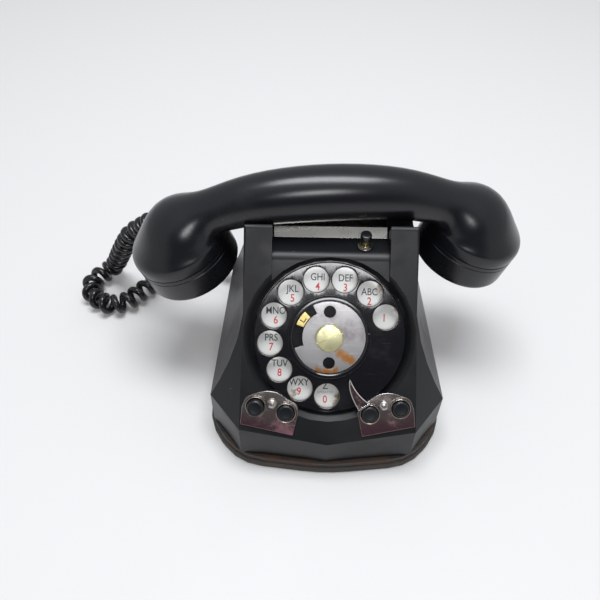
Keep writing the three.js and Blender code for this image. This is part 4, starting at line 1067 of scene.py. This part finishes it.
@dataclass
class KeyGroup:
    """One side's key plate with its screw, two collars and two push keys."""

    side: int
    numbers: tuple[int, int]
    word: str
    key_radius: float = 4.6
    key_height: float = 7.4
    places: tuple[tuple[float, float], ...] = ((39.8, -38.5), (23.1, -41.9))
    screw_place: tuple[float, float] = (30.8, -36.8)
    plate_low: float = 0.3
    plate_high: float = 1.5

    def outline(self) -> list[tuple[float, float]]:
        """The plate's edge: straight foot and sides, and a wavy head."""
        head = smooth_line([(16.3, -41.9, 0), (17.4, -37.4, 0), (22.1, -34.6, 0),
                            (27.9, -30.9, 0), (33.7, -30, 0), (39.6, -31.3, 0),
                            (44.9, -33.7, 0), (47.4, -39, 0)], 8)
        points = [(19.2, -55.0), *((p.x, p.y) for p in head), (48.3, -48.9)]
        return [(self.side * x, y) for x, y in points]

    def build_plate(self) -> None:
        """The worn nickel plate."""
        holes = [(self.side * x, y, self.key_radius + 0.3) for x, y in self.places]
        holes.append((self.side * self.screw_place[0], self.screw_place[1], 1.6))
        shape = soften(plate(self.outline(), holes, self.plate_low, self.plate_high, 40),
                       0.3, 3)
        piece(f"key_plate_{self.word}_nickel", shape, NICKEL, Body.PHONE.value,
              [f"key_plate_{self.word}"], SLOPE)

    def build_screw(self) -> None:
        """The round-headed slotted screw between the keys."""
        base = self.plate_high + 0.3
        head = spun([(0, -3), (1.3, -3), (1.3, base), (2.8, base), (2.9, base + 0.2),
                     (2.7, base + 0.8), (2.1, base + 1.4), (1.2, base + 1.75),
                     (0, base + 1.85)], 40)
        slot = bmesh.new()
        turn = Matrix.Rotation(self.side * 0.9, 4, "Z")
        bmesh.ops.create_cube(slot, size=1, matrix=turn @ Matrix.Translation((0, 0, base + 2))
                              @ Matrix.Diagonal((8, 0.55, 1.8, 1)))
        spot = Matrix.Translation((self.side * self.screw_place[0], self.screw_place[1], 0))
        piece(f"key_screw_{self.word}_steel", moved(carved(head, [slot]), spot), STEEL,
              Body.PHONE.value, [f"key_plate_screw_{self.word}"], SLOPE)

    def build_key(self, number: int, x: float, y: float) -> None:
        """One push key and the collar round it.

        Args:
            number: the key's number, from left to right.
            x: its place on the slope, to the right.
            y: its place on the slope, upwards.
        """
        spot = Matrix.Translation((self.side * x, y, 0))
        low = self.plate_high + 0.3
        inner = self.key_radius + 0.3
        collar = spun([(inner, low), (inner + 0.9, low), (inner + 0.9, low + 0.7),
                       (inner + 0.65, low + 1.15), (inner + 0.35, low + 1.3),
                       (inner + 0.1, low + 1.15), (inner, low + 0.8)], 48, closed=True)
        piece(f"key_collar_{number}_nickel", moved(collar, spot), COLLAR_NICKEL,
              Body.PHONE.value, [f"key_collar_{number}"], SLOPE)
        drop = (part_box("key_button_1")[1][2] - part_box(f"key_button_{number}")[1][2]) / MM
        sunk = drop / SLOPE.to_3x3().normalized().col[2].z
        top, radius = self.key_height, self.key_radius
        button = spun([(0, -12.2), (2, -12.2), (2, -3.2), (radius, -3.2), (radius, top - 1),
                       (radius - 0.12, top - 0.55), (radius - 0.5, top - 0.15),
                       (radius - 1, top), (radius - 1.6, top - 0.06), (0, top - 0.25)], 56)
        place = Matrix.Translation((self.side * x, y, -sunk))
        piece(f"key_{number}_cap", moved(button, place), HANDSET_MOULDING, f"key_{number}",
              [f"key_button_{number}"], SLOPE)

    def build(self) -> None:
        """Makes the whole group."""
        self.build_plate()
        self.build_screw()
        for number, (x, y) in zip(self.numbers, self.places):
            self.build_key(number, x, y)


# ---- Housing and base -------------------------------------------------------------------------


@dataclass
class Casing:
    """The moulded housing, the base plate and the foot pad, softened from the CAD's shapes."""

    edge: float = 1.1
    base_edge: float = 0.8

    def build_housing(self) -> None:
        """The housing with its edges rounded."""
        shell = soften(cad_copy("housing"), self.edge, 3, 24)
        piece("housing_moulded", shell, MOULDING, Body.PHONE.value, ["housing"],
              sharp=50)

    def build_base(self) -> None:
        """The rusty base plate and the pad below it."""
        for node, finish in (("base_plate", RUSTY_STEEL), ("foot_pad", FELT)):
            shape = soften(cad_copy(node), self.base_edge, 3, 40)
            piece(f"{node}_worn", shape, finish, Body.PHONE.value, [node], sharp=40)

    def build(self) -> None:
        """Makes the whole casing."""
        self.build_housing()
        self.build_base()


# ---- Top of the housing -----------------------------------------------------------------------


@dataclass
class Cradle:
    """The chrome bar between the ears, and the plunger button on the deck."""

    button_radius: float = 3.1

    def build_bar(self) -> None:
        """The bent bar under the grip."""
        bar = soften(cad_copy("cradle_bar"), 0.25, 3, 30)
        piece("cradle_bar_chrome", bar, BAR_CHROME, Body.CRADLE.value, ["cradle_bar"],
              sharp=40)

    def build_button(self) -> None:
        """The plunger button and its stepped collar."""
        low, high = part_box("top_button")
        x, y = (low[0] + high[0]) / 2 / MM, (low[1] + high[1]) / 2 / MM
        top, bottom = high[2] / MM, low[2] / MM
        radius = self.button_radius
        spot = Matrix.Translation((x, y, 0))
        cap = spun([(0, top - 4.2), (radius - 0.3, top - 4.2), (radius, top - 3.9),
                    (radius, top - 0.8), (radius - 0.25, top - 0.25), (radius - 0.8, top),
                    (0, top - 0.1)], 40)
        stem = spun([(0, bottom), (2, bottom), (2, top - 4.3), (0, top - 4.3)], 32)
        piece("top_button_cap", moved(cap, spot), HANDSET_MOULDING, Body.HOOK_BUTTON.value,
              ["top_button"], sharp=40)
        piece("top_button_stem", moved(stem, spot), BRASS, Body.HOOK_BUTTON.value)
        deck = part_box("top_button_collar")[0][2] / MM
        collar = spun([(2.3, deck), (4.25, deck), (4.25, deck + 0.7), (4.0, deck + 0.95),
                       (3.3, deck + 1.0), (3.1, deck + 1.3), (3.1, deck + 2.0),
                       (2.9, deck + 2.2), (2.3, deck + 2.2)], 48, closed=True)
        piece("top_button_collar_nickel", moved(collar, spot), COLLAR_NICKEL,
              Body.PHONE.value, ["top_button_collar"])

    def build(self) -> None:
        """Makes the bar and the button."""
        self.build_bar()
        self.build_button()


# ---- Handset ----------------------------------------------------------------------------------


@dataclass
class Handset:
    """The handset: a bowed grip that opens into two cups, with screw-on caps.

    Each section is round and gives the far end and the near end of its middle line.
    """

    grip_radius: float = 15.6
    yaw: float = 3.6
    roll: float = -1.1
    cup_x: float = 84.65
    cup_z: float = -35.1
    cup_tilt: float = 18.0
    rim_radius: float = 28.6
    cap_height: float = 18.6
    face_radius: float = 25.2
    sides: int = 56
    bush_neck: float = 3.0
    bush_head: float = 5.2
    bush_foot: Colour = (-90.0, 22.0, -29.5)
    bush_way: Colour = (-0.62, 0.45, -0.64)
    outline: tuple[tuple[float, float, float, float], ...] = (
        (0, 15.6, 0, -15.6), (16.5, 15, 15.5, -15.8), (33.3, 13.1, 30.7, -16.3),
        (48.7, 9.7, 43.3, -17.6), (62, 4.6, 52.2, -19.9), (72.5, 0, 55.8, -19.9),
        (83, -2.8, 57.6, -19.8), (92.5, -5.6, 58.4, -19.7), (100, -11.2, 58.8, -19.7),
        (105, -18.8, 59.1, -19.7), (109.8, -28.6, 59.3, -19.7), (113, -34, 59.45, -19.75),
        (114, -37, 59.4, -20.1), (113.3, -40.3, 58.8, -22))

    def matrix(self) -> Matrix:
        """The handset's frame, taking millimetres to metres."""
        low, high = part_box("handset_body")
        middle = (Vector(low) + Vector(high)) / 2
        roll = math.radians(self.roll)
        widest_z = max(self.outline)[1]
        middle.x -= widest_z * math.sin(roll) * MM
        middle.z = high[2] - self.grip_radius * MM
        return (Matrix.Translation(middle) @ Matrix.Rotation(roll, 4, "Y")
                @ Matrix.Rotation(math.radians(self.yaw), 4, "Z") @ TO_METRES)

    def cup(self, side: int) -> Matrix:
        """The frame of one cup: origin at its rim's middle, z into the handset."""
        return (Matrix.Translation((side * self.cup_x, 0, self.cup_z))
                @ Matrix.Rotation(math.radians(side * self.cup_tilt), 4, "Y"))

    def sections(self, side: int) -> list[tuple[Matrix, float]]:
        """The frame and radius of each section on one side, from the middle out."""
        parts = []
        for far_x, far_z, near_x, near_z in self.outline:
            reach = Vector((side * (far_x - near_x), 0, far_z - near_z))
            middle = Vector((side * (far_x + near_x) / 2, 0, (far_z + near_z) / 2))
            radius = reach.length / 2
            along = reach.normalized()
            axes = Matrix((along, Vector((0, 1, 0)), along.cross(Vector((0, 1, 0)))))
            parts.append((Matrix.Translation(middle) @ axes.transposed().to_4x4(), radius))
        for height, radius in ((0.25, self.rim_radius), (0.0, self.rim_radius - 0.25)):
            parts.append((self.cup(side) @ Matrix.Translation((0, 0, height)), radius))
        return parts

    def build_body(self) -> None:
        """The grip and both cups as one skin."""
        bm = bmesh.new()
        row = [*self.sections(-1)[:0:-1], *self.sections(1)]
        rings = []
        for matrix, radius in row:
            made = bmesh.ops.create_circle(bm, cap_ends=False, segments=self.sides,
                                           radius=radius, matrix=matrix)
            rings.append(list({edge for vert in made["verts"] for edge in vert.link_edges}))
        for first, second in zip(rings, rings[1:]):
            bmesh.ops.bridge_loops(bm, edges=first + second)
        bmesh.ops.holes_fill(bm, edges=rings[0] + rings[-1])
        for end in [face for face in bm.faces[:] if len(face.verts) > 4]:
            bmesh.ops.inset_region(bm, faces=[end], thickness=0.4, depth=0)
        bmesh.ops.recalc_face_normals(bm, faces=bm.faces[:])
        body = piece("handset_body_moulded", bm, HANDSET_MOULDING, Body.HANDSET.value,
                     ["handset_body"], self.matrix(), sharp=60)
        modifier = body.modifiers.new("smooth", "SUBSURF")
        modifier.levels = modifier.render_levels = 1
        body.modifiers.move(1, 0)

    def build_cap(self, side: int, name: str) -> None:
        """One screw-on cap with its bevelled edge and its sound holes.

        Args:
            side: 1 for the right cup, -1 for the left.
            name: the CAD node that the cap stands for.
        """
        rim, face, deep = self.rim_radius, self.face_radius, self.cap_height
        shell = spun([(rim - 3, -0.15), (rim - 0.4, -0.12), (rim - 0.1, -0.2), (rim, -0.5),
                      (rim, -2.5), (rim - 0.3, -2.8), (rim, -3.1), (rim, -deep + 4),
                      (rim - 0.25, -deep + 2.6), (rim - 1, -deep + 1.2),
                      (rim - 2.2, -deep + 0.3), (face, -deep), (face - 1, -deep + 0.15),
                      (0, -deep + 1.6), (0, -deep + 4.4), (face - 2, -deep + 3.4),
                      (rim - 3.1, -deep + 5.4)], 96, closed=True)
        holes = []
        for i in range(7):
            tool = spun([(0, -20), (2, -20), (2, 0), (0, 0)], 20)
            ring = 0 if i == 6 else 9
            angle = math.tau * i / 6
            holes.append(moved(tool, Matrix.Translation(
                (ring * math.cos(angle), ring * math.sin(angle), 0))))
        shape = moved(carved(shell, holes), self.cup(side))
        piece(f"{name}_moulded", shape, HANDSET_MOULDING, Body.HANDSET.value,
              [name], self.matrix(), sharp=40)

    def build_bush(self) -> None:
        """The ribbed rubber bush that the cord leaves by."""
        neck, head = self.bush_neck, self.bush_head
        bush = spun([(0, 0), (neck, 0), (neck, 14), (head - 0.4, 14), (head, 14.4), (head, 15.6),
                     (head - 0.8, 16), (head - 0.8, 16.6), (head - 0.3, 17),
                     (head - 0.4, 18.2), (head - 1.2, 18.6), (head - 1.2, 19.2),
                     (head - 0.9, 19.6), (head - 1.3, 20), (0, 20)], 40)
        turn = Vector(self.bush_way).to_track_quat("Z", "Y").to_matrix().to_4x4()
        shape = moved(bush, Matrix.Translation(self.bush_foot) @ turn)
        piece("handset_cord_bush_ribbed", shape, RUBBER, Body.HANDSET.value,
              ["handset_cord_bush"], self.matrix(), sharp=40)

    def build(self) -> None:
        """Makes the whole handset."""
        self.build_body()
        self.build_cap(1, "ear_cap")
        self.build_cap(-1, "mouth_cap")
        self.build_bush()


# ---- All of it --------------------------------------------------------------------------------


def dress_cad_nodes() -> None:
    """Gives every CAD node that still shows the finish of its slot."""
    for part in frame["record"]["subparts"]:
        node = frame["nodes"].get(part["node"])
        if node is None:
            continue
        finish = SLOT_FINISHES[part["material_slot"]]
        node.data.materials.clear()
        node.data.materials.append(finish.material())


def main() -> None:
    """Builds the stage, the cord and then each sub-assembly."""
    logging.basicConfig(level=logging.INFO, format="%(message)s")
    Stage().build()
    CurlyCord().build()
    dress_cad_nodes()
    Casing().build()
    Dial().build()
    KeyGroup(-1, (1, 2), "left").build()
    KeyGroup(1, (4, 3), "right").build()
    Cradle().build()
    Handset().build()


if __name__ == "__main__":
    main()
